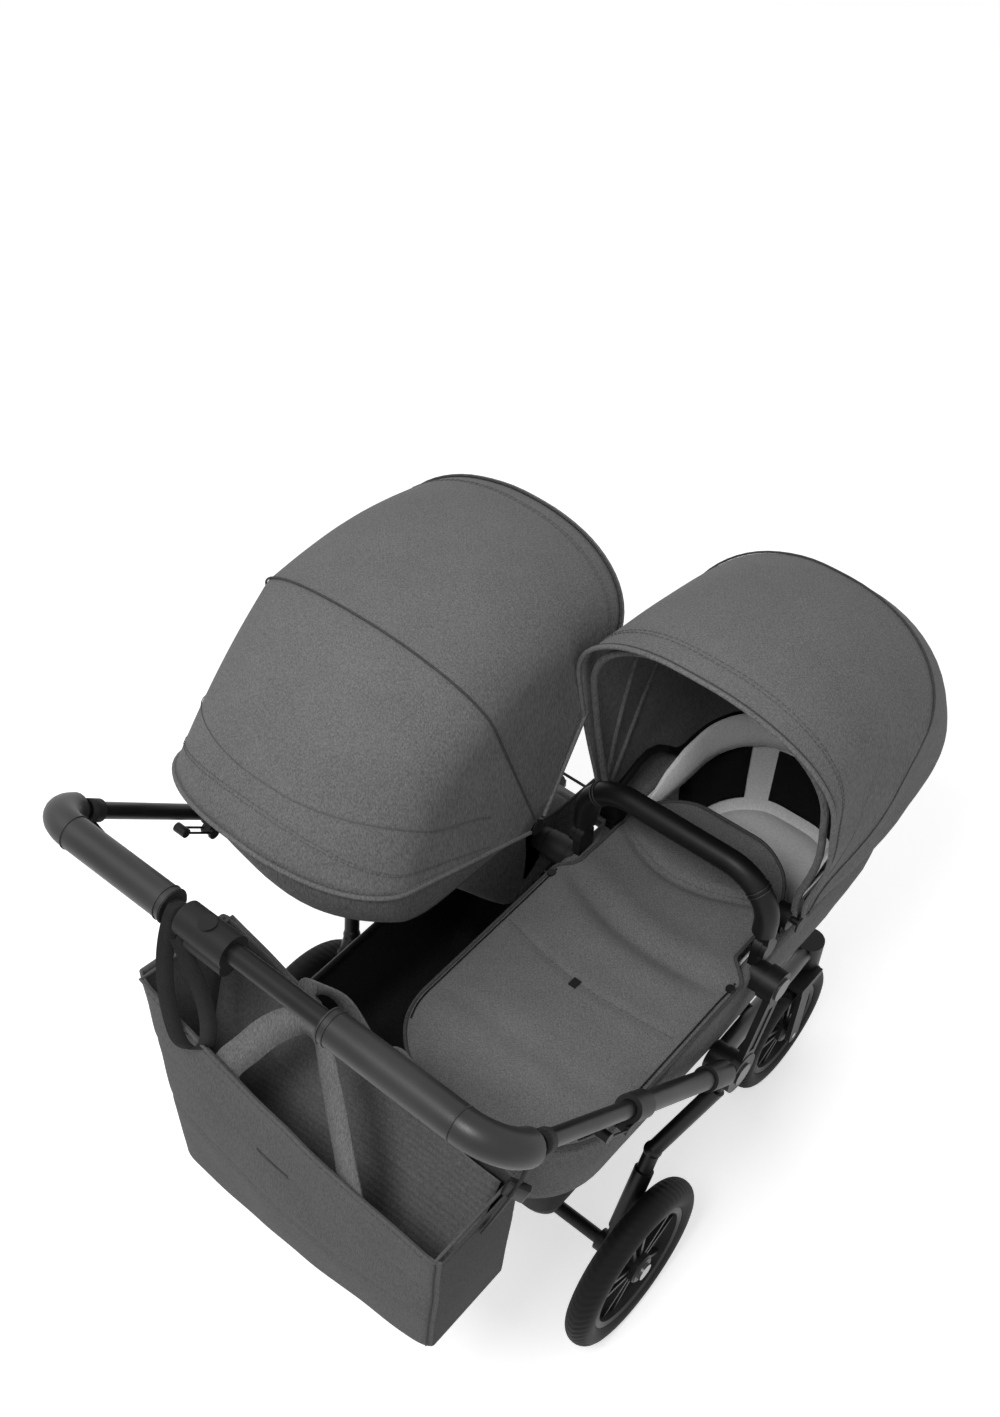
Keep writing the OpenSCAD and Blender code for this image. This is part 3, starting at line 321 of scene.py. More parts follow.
def hoodSection(hood, steps=16):
    # from one hub up the wall, round the shoulder, over the crown and down again
    r, w, c, side = hood["radius"], hood["half"], hood["shoulder"], hood["side"]
    wall = [(20 + (r - c - 20) * i / 10, w) for i in range(10)]
    bend = [(r - c + c * math.sin(math.radians(90 * i / steps)) ** 0.9,
             w - side + side * math.cos(math.radians(90 * i / steps))) for i in range(steps + 1)]
    crown = [(r, (w - side) * (1 - i / 3)) for i in range(1, 4)]
    half = wall + bend + crown
    return [(a, -b) for a, b in half] + [(a, b) for a, b in half[-2::-1]]


def hoodPoint(hood, r, x, angle, lift=0.0):
    # a point of the sheet: drawn in between bows, crowned, puckered, swelled, and at rest on the cot's rim
    part = 0.0
    for low, high in zip(hood["bows"], hood["bows"][1:]):
        if low <= angle <= high:
            part = math.sin(math.pi * (angle - low) / (high - low)) ** 0.8
    across = x / hood["half"]
    full = ease((r - 60) / 200)
    r = r - hood["sag"] * part * full + hood["crown"] * (1 - across * across) * full
    r = r - hood["tuck"] * ease((24 - angle) / 32) * full
    x = x - hood["sag"] * 0.8 * part * full * across
    spot = Vector((x * 0.012, angle * 0.05, r * 0.006))
    r = r + hood["pucker"] * noise.noise(spot) * full + lift
    x = x + across * lift * 0.6
    a = math.radians(angle)
    left, right, crown = hood["swell"]
    grown = ease((r - 30) / 160) * ease((angle + 10) / 34)
    r += crown * grown * full
    x += grown * (right * max(across, 0) + left * min(across, 0))
    z = hood["z"] + r * math.sin(a)
    if hood["rest"]:
        down = ease((16 - angle) / 24)
        z += (hood["rest"] - z) * down
        x -= hood["nip"] * across * down
    return mm(hood["x"] + x, hood["y"] + r * math.cos(a), z)


def blendHood(piece):
    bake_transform(piece)


def makeHood(hood):
    section = hoodSection(hood)
    low, high = hood["from"], hood["to"]
    steps = int((high - low) / 1.8)
    bm = bmesh.new()
    a = math.radians(low)
    verts, edges = chain(bm, [mm(hood["x"] + x, hood["y"] + r * math.cos(a), hood["z"] + r * math.sin(a))
                              for r, x in section])
    hub = mm(hood["x"], hood["y"], hood["z"])
    bmesh.ops.spin(bm, geom=verts + edges, cent=hub, axis=(1, 0, 0), angle=math.radians(high - low),
                   steps=steps)
    bmesh.ops.remove_doubles(bm, verts=bm.verts, dist=1e-5)
    for v in bm.verts:
        flat = (v.co - hub) * 1000
        r = math.hypot(flat.y, flat.z)
        v.co = hoodPoint(hood, r, flat.x, math.degrees(math.atan2(flat.z, flat.y)))
    bmesh.ops.recalc_face_normals(bm, faces=bm.faces)
    piece = makePiece(bm, hood["name"], melange, thick=2.2)
    blendHood(piece)
    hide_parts(*hood["nodes"])
    # seams over each bow, the front hem band and its double stitching
    for k, angle in enumerate(hood["bows"]):
        line = [hoodPoint(hood, r, x, min(max(angle, low), high), 1.4) for r, x in section]
        blendHood(tubePiece(hood["name"] + "Seam" + str(k), [line], 1.5, pipingCloth))
    inward = 1 if hood["front"] == low else -1
    hem = [hoodPoint(hood, r, x, hood["front"], 0.6) for r, x in section]
    hemRoll = tubePiece(hood["name"] + "Hem", [hem], 3.2, melange)
    blendHood(hemRoll)
    for k, shift in enumerate((4.6, 5.4)):
        line = [hoodPoint(hood, r, x, hood["front"] + inward * shift, 0.7) for r, x in section if r > 40]
        blendHood(stitching(hood["name"] + "Stitch" + str(k), [line]))


for hood in (seatHood, cotHood):
    makeHood(hood)

# back of the seat canopy: two rows of stitches, a bowed panel seam above them and a rolled hem, in degrees
seatBack = {"stitches": (-7.5, -8.3), "seam": 144.8, "seamBow": 4.2, "seamEnds": 9}
for k, shift in enumerate(seatBack["stitches"]):
    line = [hoodPoint(seatHood, r, x, seatHood["to"] + shift * (1 - 0.35 * (x / seatHood["half"]) ** 2), 0.7)
            for r, x in hoodSection(seatHood) if r > 120]
    blendHood(stitching("seatCanopyRearStitch" + str(k), [line]))
panelLine = []
for r, x in hoodSection(seatHood):
    if r > 150:
        bow = seatBack["seamBow"] * (abs(x) / seatHood["half"]) ** 2.4
        angle = seatBack["seam"] - bow - seatBack["seamEnds"] * ease((280 - r) / 180)
        panelLine.append(hoodPoint(seatHood, r, x, angle, 1.0))
blendHood(tubePiece("seatCanopyPanelSeam", [panelLine], 0.7, threadCloth))
hemLine = [hoodPoint(seatHood, r, x, seatHood["to"], 0.6) for r, x in hoodSection(seatHood)]
blendHood(tubePiece("seatCanopyRearHem", [hemLine], 3.4, melange))
print("canopies made")

# inside of the carrycot canopy: bow sleeves sewn to the cloth, and the rail along its lower edge
for k, angle in enumerate((58, 80)):
    sleeve = [hoodPoint(cotHood, max(r - 4, 20), x * 0.985, angle) for r, x in hoodSection(cotHood)]
    bowSleeve = tubePiece("cotBowSleeve" + str(k), [sleeve], 4.0, melange)
    if k:
        blendHood(bowSleeve)
    else:
        dress(bowSleeve, "carrycot", "grey_fabric")
bowLine = [hoodPoint(cotHood, max(r - 16, 20), x * 0.92, 101.5) for r, x in hoodSection(cotHood)]
# the darker copy of the canopy cloth on this bow is painted shade
mouthBow = tubePiece("cotMouthBow", [bowLine], 5.0, melangeShaded)
dress(mouthBow, "cot_canopy", "grey_fabric", "cot_bow")
railLine = [hoodPoint(cotHood, max(r - 12, 30), x * 0.93, 2 + 16 * (1 - ease((r - 60) / 180)))
            for r, x in hoodSection(cotHood)]
hoodRail = tubePiece("cotHoodRail", [railLine], 6, nylon)
dress(hoodRail, "carrycot", "black_plastic")
print("canopy lining made")


def roundedPlate(bm, cx, hw, y0, y1, corner, z):
    # rounded rectangle face, its straight sides cut up for shaping
    outline = []
    for k, (sx, y) in enumerate(((1, y1 - corner), (-1, y1 - corner), (-1, y0 + corner), (1, y0 + corner))):
        for i in range(13):
            a = math.radians(90 * k + 7.5 * i)
            outline.append(mm(cx + sx * (hw - corner) + corner * math.cos(a), y + corner * math.sin(a), z))
    full = []
    for here, there in zip(outline, outline[1:] + outline[:1]):
        cuts = max(1, round((there - here).length / 0.045))
        full += [here.lerp(there, i / cuts) for i in range(cuts)]
    return bm.faces.new([bm.verts.new(p) for p in full])


def dropLevels(bm, face, middle, levels):
    # carry a plate through (height, width share, length share, shift) steps
    wide, long, along = 1.0, 1.0, 0.0
    for z, sx, sy, shift in levels:
        made = bmesh.ops.extrude_face_region(bm, geom=[face])["geom"]
        verts = [g for g in made if isinstance(g, bmesh.types.BMVert)]
        nextFace = [g for g in made if isinstance(g, bmesh.types.BMFace)][0]
        bmesh.ops.delete(bm, geom=[face], context="FACES_ONLY")
        for v in verts:
            v.co.x = middle[0] / 1000 + (v.co.x - middle[0] / 1000) * sx / wide
            v.co.y = (middle[1] + shift) / 1000 + (v.co.y - (middle[1] + along) / 1000) * sy / long
            v.co.z = z / 1000
        wide, long, along, face = sx, sy, shift, nextFace
    return face


# carrycot: fabric body over the ring, liner, mattress and apron
cot = {"x": 172, "half": 152, "y0": -349, "y1": 484, "corner": 120, "ring": 640}
cotMid = (cot["x"], (cot["y0"] + cot["y1"]) / 2)
cotLong = (cot["y1"] - cot["y0"]) / 2


def cotPlate(bm, z):
    return roundedPlate(bm, cot["x"], cot["half"], cot["y0"], cot["y1"], cot["corner"], z)


def cotShares(inset):
    # width and length of the cot's outline drawn in by inset, as shares of the whole
    return (cot["half"] - inset) / cot["half"], (cotLong - inset) / cotLong


def cotShape(start, levels):
    # the outline carried through (height, inset) steps, without its first face
    bm = bmesh.new()
    face = cotPlate(bm, start)
    firstRing = face.verts[:]
    dropLevels(bm, face, cotMid, [(z, *cotShares(inset), 0) for z, inset in levels])
    bmesh.ops.delete(bm, geom=firstRing, context="VERTS")
    return bm


bm = cotShape(651, ((652, 17), (654, 10), (653, 2), (648, -3), (638, -4), (626, -2), (600, -1), (570, 3), (535, 9),
                    (500, 17), (470, 25), (454, 33), (447, 46), (446, 90)))
for v in bm.verts:
    depth = ease((0.63 - v.co.z) / 0.1) * ease((v.co.z - 0.45) / 0.06)
    push = 5 * noise.noise(v.co * 9) * depth / 1000
    v.co.x += push * (1 if v.co.x > cot["x"] / 1000 else -1)
    v.co.y += 1.5 * push * (1 if v.co.y > cotMid[1] / 1000 else -1)
bmesh.ops.recalc_face_normals(bm, faces=bm.faces)
# the darker copy of the canopy cloth on the cot body is painted shade
cotBody = makePiece(bm, "cotBody", melangeShaded, thick=2.0)
dress(cotBody, "carrycot", "grey_fabric", "cot_shell")

bm = cotShape(650, ((650, 16), (646, 21), (600, 22), (560, 26), (520, 33), (490, 40)))
bmesh.ops.recalc_face_normals(bm, faces=bm.faces)
liner = makePiece(bm, "cotLiner", linerCloth, thick=1.6, offset=1.0)
dress(liner, "carrycot", "light_fabric")

# two mesh windows in the head wall of the liner, with a plain strip between them
windowSet = {"low": 521, "high": 620, "rows": 8, "proud": 2.5, "start": 285, "stripFrom": 68, "stripTo": 108,
             "wide": (0.147, 0.29), "tall": 0.1}
linerInset = ((490, 40), (520, 33), (560, 26), (600, 22), (646, 21))


def wallPoint(p, z, inset):
    # a point of the outline drawn in by inset, at height z
    wide, long = cotShares(inset)
    return mm(cotMid[0] + (p.x * 1000 - cotMid[0]) * wide, cotMid[1] + (p.y * 1000 - cotMid[1]) * long, z)


def linerWall(p, z, inward):
    inset = linerInset[0][1]
    for (z0, i0), (z1, i1) in zip(linerInset, linerInset[1:]):
        if z0 <= z <= z1:
            inset = i0 + (i1 - i0) * (z - z0) / (z1 - z0)
    return wallPoint(p, z, inset + inward)


def headRun(start, pivot):
    # the outline's points past start, in order round the head
    bm = bmesh.new()
    points = [v.co.copy() for v in cotPlate(bm, cot["ring"]).verts]
    bm.free()
    return sorted((p for p in points if p.y * 1000 > start),
                  key=lambda p: math.atan2(p.x - cot["x"] / 1000, p.y - pivot / 1000))


headWall = headRun(windowSet["start"], 200)
sides = ([p for p in headWall if p.x * 1000 < windowSet["stripFrom"]],
         [p for p in headWall if p.x * 1000 > windowSet["stripTo"]])
for name, wide, wall in zip(("cotWindowLeft", "cotWindowRight"), windowSet["wide"], sides):
    bm = bmesh.new()
    verts, edges = chain(bm, [linerWall(p, windowSet["low"], windowSet["proud"]) for p in wall])
    for k in range(1, windowSet["rows"] + 1):
        z = windowSet["low"] + (windowSet["high"] - windowSet["low"]) * k / windowSet["rows"]
        verts, edges = carryEdges(bm, edges)
        for v, p in zip(verts, wall):
            v.co = linerWall(p, z, windowSet["proud"])
    bmesh.ops.recalc_face_normals(bm, faces=bm.faces)
    window = makePiece(bm, name, windowMesh, thick=1.0)
    dress(window, "carrycot", "black_fabric")

# the liner stands above the ring at the head: it starts at low and climbs through (height, inset) steps
headBand = {"start": 180, "climb": 130, "low": 627, "inset": 22,
            "steps": ((638, 37), (655, 37), (668, 32), (680, 26), (688, 20))}
rimWall = headRun(headBand["start"], 150)
bm = bmesh.new()
verts, edges = chain(bm, [linerWall(p, headBand["low"] - 1, 1.0) for p in rimWall])
for z, inset in headBand["steps"]:
    verts, edges = carryEdges(bm, edges)
    for v, p in zip(verts, rimWall):
        rise = ease((p.y * 1000 - headBand["start"]) / headBand["climb"])
        v.co = wallPoint(p, headBand["low"] + (z - headBand["low"]) * rise,
                         headBand["inset"] + (inset - headBand["inset"]) * rise)
bmesh.ops.recalc_face_normals(bm, faces=bm.faces)
headLiner = makePiece(bm, "cotHeadLiner", linerCloth, thick=2.0)
dress(headLiner, "carrycot", "light_fabric")

bm = cotShape(458, ((458, 52), (462, 46), (478, 43), (500, 42), (510, 50), (515, 68), (517, 100)))
bmesh.ops.contextual_create(bm, geom=[e for e in bm.edges if e.is_boundary])
bmesh.ops.recalc_face_normals(bm, faces=bm.faces)
mattress = makePiece(bm, "cotMattress", linerCloth)
dress(mattress, "carrycot", "light_fabric", "mattress")
print("carrycot body made")

# apron: zipped cover over the foot end, with a loose flap past the handle
apronSet = {"near": -351, "zipEnd": 34, "far": 236, "edge": 651, "crown": 34, "half": 155, "flapHalf": 127,
            "flapCorner": 88, "flapRise": 7, "flapDroop": 10, "droopFrom": 150, "pucker": 2.2}
# bowed lines across the apron: place along travel, bow, middle, half width
apronLines = {"flap": (105, 42, 165, 105), "fold": (-18, 46, 205, 145), "seam": (-120, 30, 185, 140),
              "tuck": (-235, 12, cot["x"], apronSet["half"])}
# dents and swells along them: line, shift, height, width
apronFolds = (("fold", 0, -9, 15), ("fold", 34, 5, 22), ("fold", -36, 4, 24), ("flap", -5, -6, 7),
              ("seam", 0, -3.5, 5), ("tuck", 0, -3, 16))


def apronHalf(y):
    c = cot["corner"] - 4
    reach = y - apronSet["near"]
    if reach < c:
        return apronSet["half"] - c + math.sqrt(max(0.0, c * c - (c - reach) ** 2))
    half = apronSet["half"] + (apronSet["flapHalf"] - apronSet["half"]) * ease((y - apronSet["zipEnd"]) / 26)
    c = apronSet["flapCorner"]
    over = y - (apronSet["far"] - c)
    if over > 0:
        half += math.sqrt(max(0.0, c * c - over * over)) - c
    return half


def apronLine(name, x):
    place, bow, middle, half = apronLines[name]
    return place + bow * ((x - middle) / half) ** 2


def apronPoint(u, y, lift=0.0):
    x = cot["x"] + u * apronHalf(y)
    wide = (x - cot["x"]) / apronSet["half"]
    end = ease((y - apronSet["near"]) / 90)
    inner = 1 - abs(wide) ** 4
    z = apronSet["edge"] + apronSet["crown"] * (1 - abs(wide) ** 2.6) * end ** 0.7
    for name, shift, height, width in apronFolds:
        z += height * math.exp(-((y - apronLine(name, x) - shift) / width) ** 2) * inner
    z += apronSet["flapRise"] * ease((y - apronLine("flap", x) + 2) / 9) * inner
    z += apronSet["pucker"] * noise.noise(Vector((x * 0.018, y * 0.018, 0))) * inner
    z -= apronSet["flapDroop"] * ease((y - apronSet["droopFrom"]) / 90) * (1 - wide * wide)
    return mm(x, y, z + lift)


bm = bmesh.new()
bmesh.ops.create_grid(bm, x_segments=56, y_segments=110, size=1)
for v in bm.verts:
    v.co = apronPoint(v.co.x, apronSet["near"] + (v.co.y + 1) / 2 * (apronSet["far"] - 0.4 - apronSet["near"]))
skirt, edges = carryEdges(bm, [e for e in bm.edges if e.is_boundary])
bmesh.ops.translate(bm, vec=mm(0, 0, -5), verts=skirt)
bmesh.ops.recalc_face_normals(bm, faces=bm.faces)
apron = makePiece(bm, "footApron", melange, thick=3.0)
dress(apron, "carrycot", "grey_fabric", "apron")
steps = [apronSet["near"] + (apronSet["far"] - apronSet["near"]) * (0.5 - 0.5 * math.cos(math.pi * i / 150))
         for i in range(151)]
outline = [apronPoint(-1, y, 1.0) for y in steps] + [apronPoint(1, y, 1.0) for y in steps[::-1]]
edge = tubePiece("apronPiping", [outline], 2.6, pipingCloth, closed=True)
dress(edge, "carrycot", "grey_fabric")
zipLines = [[apronPoint(s * 0.955, y, 1.2) for y in range(-290, apronSet["zipEnd"], 4)] for s in (-1, 1)]
zipTeeth = tubePiece("apronZip", [run for line in zipLines for run in stitchRuns(line, 2.4, 1.4)], 1.4, nylon,
                     resolution=1)
dress(zipTeeth, "carrycot", "black_plastic")
sewing = []
for name in ("flap", "seam"):
    run = []
    for x in range(30, 316, 4):
        y = apronLine(name, x)
        if abs(x - cot["x"]) < apronHalf(y) - 4:
            run.append(apronPoint((x - cot["x"]) / apronHalf(y), y, 1.6))
    sewing.append(run)
sewn = stitching("apronStitch", sewing)
dress(sewn, "carrycot", "grey_fabric")
bm = bmesh.new()
for s in (-1, 1):
    tip = apronPoint(s * 0.955, apronSet["zipEnd"] - 12, 3.0)
    made = bmesh.ops.create_cone(bm, segments=20, radius1=0.0065, radius2=0.0058, depth=0.003, cap_ends=True)["verts"]
    bmesh.ops.translate(bm, vec=tip + mm(0, -4, 0), verts=made)
made = bmesh.ops.create_cube(bm, size=1)["verts"]
bmesh.ops.scale(bm, vec=(0.011, 0.014, 0.0014), verts=made)
bmesh.ops.translate(bm, vec=apronPoint(0, apronLine("seam", cot["x"]) - 5, 2.2), verts=made)
pullers = makePiece(bm, "zipPullers", nylon, smooth=False)
dress(pullers, "carrycot", "black_plastic")
print("apron made")

# changing bag: a tote that sags between its straps
bagSet = {"x0": -168, "x1": 306, "y0": -556, "y1": -387, "floor": 446, "left": 840, "right": 712, "wall": 4.0,
          "brimSag": 26, "backDrop": 24, "floorTilt": 23, "floorSag": 8, "bulge": 14, "pucker": 2.0, "round": 9,
          "seams": (0.36, 0.675), "seamDent": 1.6, "strapWide": 38}


def bagShape(a, b, h):
    # a across, b front to back, h from floor to brim, each 0 to 1
    top = bagSet["left"] + (bagSet["right"] - bagSet["left"]) * a - bagSet["brimSag"] * math.sin(math.pi * a)
    x = bagSet["x0"] + (bagSet["x1"] - bagSet["x0"]) * (0.5 + (a - 0.5) * (0.93 + 0.07 * h))
    top -= bagSet["backDrop"] * b * (1 - a)
    floor = bagSet["floor"] + bagSet["floorTilt"] * a - bagSet["floorSag"] * math.sin(math.pi * a)
    z = floor + (top - floor) * h
    bulge = bagSet["bulge"] * math.sin(math.pi * a) * math.sin(math.pi * min(1, 0.14 + h * 0.96))
    y = bagSet["y0"] + bagSet["round"] + (bagSet["y1"] - bagSet["y0"] - 2 * bagSet["round"]) * b
    y += (b - 0.5) * 2 * (bulge - 2)
    for seam in bagSet["seams"]:
        y -= (b - 0.5) * 2 * bagSet["seamDent"] * math.exp(-((h - seam) / 0.014) ** 2)
    x += (a - 0.5) * 8 * math.sin(math.pi * b) * math.sin(math.pi * h)
    y += bagSet["pucker"] * noise.noise(Vector((x * 0.014, b * 3, z * 0.014)))
    return mm(x, y, z)


bm = bmesh.new()
bmesh.ops.create_cube(bm, size=1)
bmesh.ops.delete(bm, geom=[f for f in bm.faces if f.normal.z > 0.9], context="FACES")
upright = [e for e in bm.edges if abs(e.verts[0].co.z - e.verts[1].co.z) > 0.5]
bmesh.ops.bevel(bm, geom=upright, offset=0.06, segments=5, profile=0.5, affect="EDGES", material=-1)
bmesh.ops.subdivide_edges(bm, edges=[e for e in bm.edges if e.calc_length() > 0.6], cuts=44, use_grid_fill=True)
bmesh.ops.triangulate(bm, faces=[f for f in bm.faces if len(f.verts) > 4])
for v in bm.verts:
    v.co = bagShape(v.co.x + 0.5, v.co.y + 0.5, v.co.z + 0.5)
bmesh.ops.recalc_face_normals(bm, faces=bm.faces)
# faces turned to +x, the end panel away from the key light, take the darker copy of the canvas: painted shade
for f in bm.faces:
    f.material_index = 1 if f.normal.x > 0.8 else 0
bag = makePiece(bm, "changingBag", bagCanvas, thick=bagSet["wall"])
bag.data.materials.append(bagCanvasShadeSide)
dress(bag, "handlebar", "grey_fabric", "bag")
brim = [bagShape(0.02 + 0.96 * i / 40, 0.0, 1) for i in range(41)]
brim += [bagShape(0.98, i / 12, 1) for i in range(1, 12)]
brim += [bagShape(0.98 - 0.96 * i / 40, 1.0, 1) for i in range(41)]
brim += [bagShape(0.02, 1 - i / 12, 1) for i in range(1, 12)]
brimPiping = tubePiece("bagBrim", [brim], 2.2, bagCanvas, closed=True)
dress(brimPiping, "handlebar", "grey_fabric")


def ribbon(name, points, side, wide, thick, look, slot):
    # flat strap on the handlebar: a line of points carried sideways, then given its thickness
    bm = bmesh.new()
    side = Vector(side).normalized()
    verts, edges = chain(bm, [Vector(p) - side * wide / 2000 for p in points])
    verts, edges = carryEdges(bm, edges)
    bmesh.ops.translate(bm, vec=side * wide / 1000, verts=verts)
    bmesh.ops.recalc_face_normals(bm, faces=bm.faces)
    strap = makePiece(bm, name, look, thick=thick, offset=0.0)
    dress(strap, "handlebar", slot)
    return strap


def arc(points, steps):
    # smooth run through control points
    out = []
    ends = [points[0]] + list(points) + [points[-1]]
    for k in range(1, len(ends) - 2):
        p0, p1, p2, p3 = (Vector(ends[k + d]) for d in (-1, 0, 1, 2))
        for i in range(steps):
            t = i / steps
            out.append(0.5 * ((2 * p1) + (p2 - p0) * t + (2 * p0 - 5 * p1 + 4 * p2 - p3) * t * t
                              + (3 * p1 - p0 - 3 * p2 + p3) * t ** 3))
    out.append(Vector(points[-1]))
    return out


# carry loops: share from front to back, then points of each loop as share across, lean and rise over the brim
leans = ((0.045, ((0.335, 18, 36), (0.38, 40, 78), (0.44, 58, 112), (0.51, 58, 116), (0.575, 40, 92),
                  (0.645, 18, 44))),
         (0.955, ((0.315, 4, 26), (0.37, 26, 14), (0.48, 30, -44), (0.59, 26, 10), (0.67, 4, 24))))
for k, (b, way) in enumerate(leans):
    path = [bagShape(0.29, b, 0.7), bagShape(0.293, b, 0.88), bagShape(0.3, b, 1.0)]
    path += [bagShape(a, b, 1.0) + mm(0, lean, up) for a, lean, up in way]
    path += [bagShape(0.7, b, 1.0), bagShape(0.705, b, 0.88), bagShape(0.705, b, 0.7)]
    line = arc(path, 8)
    bm = bmesh.new()
    verts, edges = chain(bm, line)
    moved, edges = carryEdges(bm, edges)
    for one, two, back, ahead in zip(verts, moved, [line[0]] + line[:-1], line[1:] + [line[-1]]):
        run = (ahead - back).normalized()
        side = run.cross(Vector((0, 1, 0))).normalized() * bagSet["strapWide"] / 2000
        two.co = one.co - side
        one.co = one.co + side
    bmesh.ops.recalc_face_normals(bm, faces=bm.faces)
    loop = makePiece(bm, "bagCarryLoop" + str(k), melange, thick=3.0, offset=0.0)
    dress(loop, "handlebar", "grey_fabric")
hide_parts("bag_handles")
sewing = [[bagShape(0.04 + 0.92 * i / 60, 0.0, high) - mm(0, proud, 0) for i in range(61)]
          for high, proud in [(0.965, 0.8)] + [(seam, 0.6) for seam in bagSet["seams"]]]
bagSewing = stitching("bagStitch", sewing)
dress(bagSewing, "handlebar", "grey_fabric")

# pale striped lining that slopes from the back brim down to the front
liningSet = {"stripeMm": 9, "pleatMm": 0.6}
bm = bmesh.new()
bmesh.ops.create_grid(bm, x_segments=40, y_segments=120, size=1)
for v in bm.verts:
    a, h = 0.04 + 0.46 * (v.co.x + 1), 0.2 + 0.385 * (v.co.y + 1)
    spot = bagShape(a, 0.9 - 0.82 * (1 - h), h)
    v.co = spot + mm(0, liningSet["pleatMm"] * abs(math.sin(spot.z * 1000 * math.pi / liningSet["stripeMm"])), 0)
bmesh.ops.recalc_face_normals(bm, faces=bm.faces)
lining = makePiece(bm, "bagLiningPanel", bagLining, thick=2.0)
dress(lining, "handlebar", "grey_fabric")

# bare slit tag in the upper front seam
slitLine = [bagShape(0.4 + 0.011 * i, 0, bagSet["seams"][1]) - mm(0, 1.2, 0) for i in range(11)]
ribbon("bagSlitTag", slitLine, (0, 0, 1), 5, 1.0, pipingCloth, "grey_fabric")
bagEdge = [bagShape(0.985, 0.006, 0.02 + 0.96 * i / 30) for i in range(31)]
bagCorner = tubePiece("bagCornerSeam", [bagEdge], 1.0, pipingCloth)
dress(bagCorner, "handlebar", "grey_fabric")
print("bag made")

# basket under the seats
basketSet = {"half": 238, "y0": -250, "y1": 250, "corner": 40, "top": 398}


def basketPlate(bm, z):
    return roundedPlate(bm, 0, basketSet["half"], basketSet["y0"], basketSet["y1"], basketSet["corner"], z)


bm = bmesh.new()
face = basketPlate(bm, basketSet["top"] + 1)
dropLevels(bm, face, (0, 0), [(basketSet["top"], 0.995, 0.995, 0), (370, 0.985, 0.965, -1), (330, 0.97, 0.915, -3),
                              (290, 0.955, 0.83, -20), (250, 0.945, 0.735, -38), (222, 0.93, 0.655, -46),
                              (210, 0.85, 0.58, -50)])
bmesh.ops.delete(bm, geom=[v for v in bm.verts if v.co.z > (basketSet["top"] + 0.5) / 1000], context="VERTS")
for v in bm.verts:
    v.co.z += 3 * noise.noise(v.co * 12) / 1000 * (1 if v.co.z < 0.39 else 0)
bmesh.ops.recalc_face_normals(bm, faces=bm.faces)
basket = makePiece(bm, "underBasket", basketCloth, thick=2.4)
dress(basket, "frame", "black_fabric", "basket")
bm = bmesh.new()
brim = [v.co.copy() for v in basketPlate(bm, basketSet["top"]).verts]
bm.free()
basketBrim = tubePiece("basketBrim", [brim], 3.2, webbing, closed=True)
dress(basketBrim, "frame", "black_fabric")
print("basket made")

# seat: fabric bucket with high wings, a quilted pad, and the hubs that carry its canopy
seatSet = {"x": -178.5, "half": 134, "wall": 2.6, "round": 20,
           "line": ((-205, 812), (-140, 727), (-60, 620), (0, 541), (34, 514), (110, 524), (190, 540), (232, 528),
                    (272, 488), (325, 432)),
           "wing": ((0.0, 40), (0.12, 78), (0.32, 126), (0.5, 150), (0.68, 104), (0.8, 52), (1.0, 14))}
seatPath = arc([mm(0, y, z) for y, z in seatSet["line"]], 8)


def seatStation(v):
    place = v * (len(seatPath) - 1)
    i = min(int(place), len(seatPath) - 2)
    here = seatPath[i].lerp(seatPath[i + 1], place - i)
    run = (seatPath[min(i + 2, len(seatPath) - 1)] - seatPath[max(i - 1, 0)]).normalized()
    return here, Vector((0, -run.z, run.y))


def seatPoint(u, v, lift=0.0):
    here, up = seatStation(v)
    high = 0.0
    for (v0, h0), (v1, h1) in zip(seatSet["wing"], seatSet["wing"][1:]):
        if v0 <= v <= v1:
            high = h0 + (h1 - h0) * ease((v - v0) / (v1 - v0))
    half = seatSet["half"] * (1 - 0.12 * ease((0.1 - v) / 0.1))
    t = max(0.0, (abs(u) - 0.7) / 0.3)
    bend = min(1.0, t * 2.6) * math.pi / 2
    c = seatSet["round"]
    x = (half - c) * min(1.0, abs(u) / 0.7) + (c - lift) * math.sin(bend)
    rise = c * (1 - math.cos(bend)) + max(0.0, high - c) * max(0.0, (t * 2.6 - 1) / 1.6) + lift * math.cos(bend)
    return here + up * rise / 1000 + mm(seatSet["x"] + math.copysign(x, u), 0, 0)


bm = bmesh.new()
bmesh.ops.create_grid(bm, x_segments=60, y_segments=70, size=1)
for v in bm.verts:
    v.co = seatPoint(v.co.x, (v.co.y + 1) / 2)
bmesh.ops.recalc_face_normals(bm, faces=bm.faces)
# the darker copy of the canopy cloth on the seat bucket is painted shade
bucket = makePiece(bm, "seatBucket", melangeShaded, thick=seatSet["wall"], offset=0.0)
dress(bucket, "seat", "grey_fabric", "seat_shell")
rimLine = [seatPoint(-1, i / 70) for i in range(71)] + [seatPoint(1, 1 - i / 70) for i in range(71)]
bucketRim = tubePiece("seatBucketPiping", [rimLine], 2.6, pipingCloth)
dress(bucketRim, "seat", "grey_fabric")
bm = bmesh.new()
bmesh.ops.create_grid(bm, x_segments=48, y_segments=90, size=1)
for v in bm.verts:
    u, along = v.co.x * 0.78, 0.04 + 0.72 * (v.co.y + 1) / 2
    edge = (1 - abs(v.co.x) ** 6) * (1 - abs(v.co.y) ** 14)
    rows = 0.5 * math.exp(-(((along * 12) % 1 - 0.5) / 0.09) ** 2)
    sides = 0.35 * math.exp(-((abs(u) - 0.36) / 0.03) ** 2)
    v.co = seatPoint(u, along, 6 + 16 * edge * (1 - rows - sides))
bmesh.ops.recalc_face_normals(bm, faces=bm.faces)
seatPad = makePiece(bm, "seatQuilt", melange, thick=5.0)
dress(seatPad, "seat", "grey_fabric", "seat_pad")


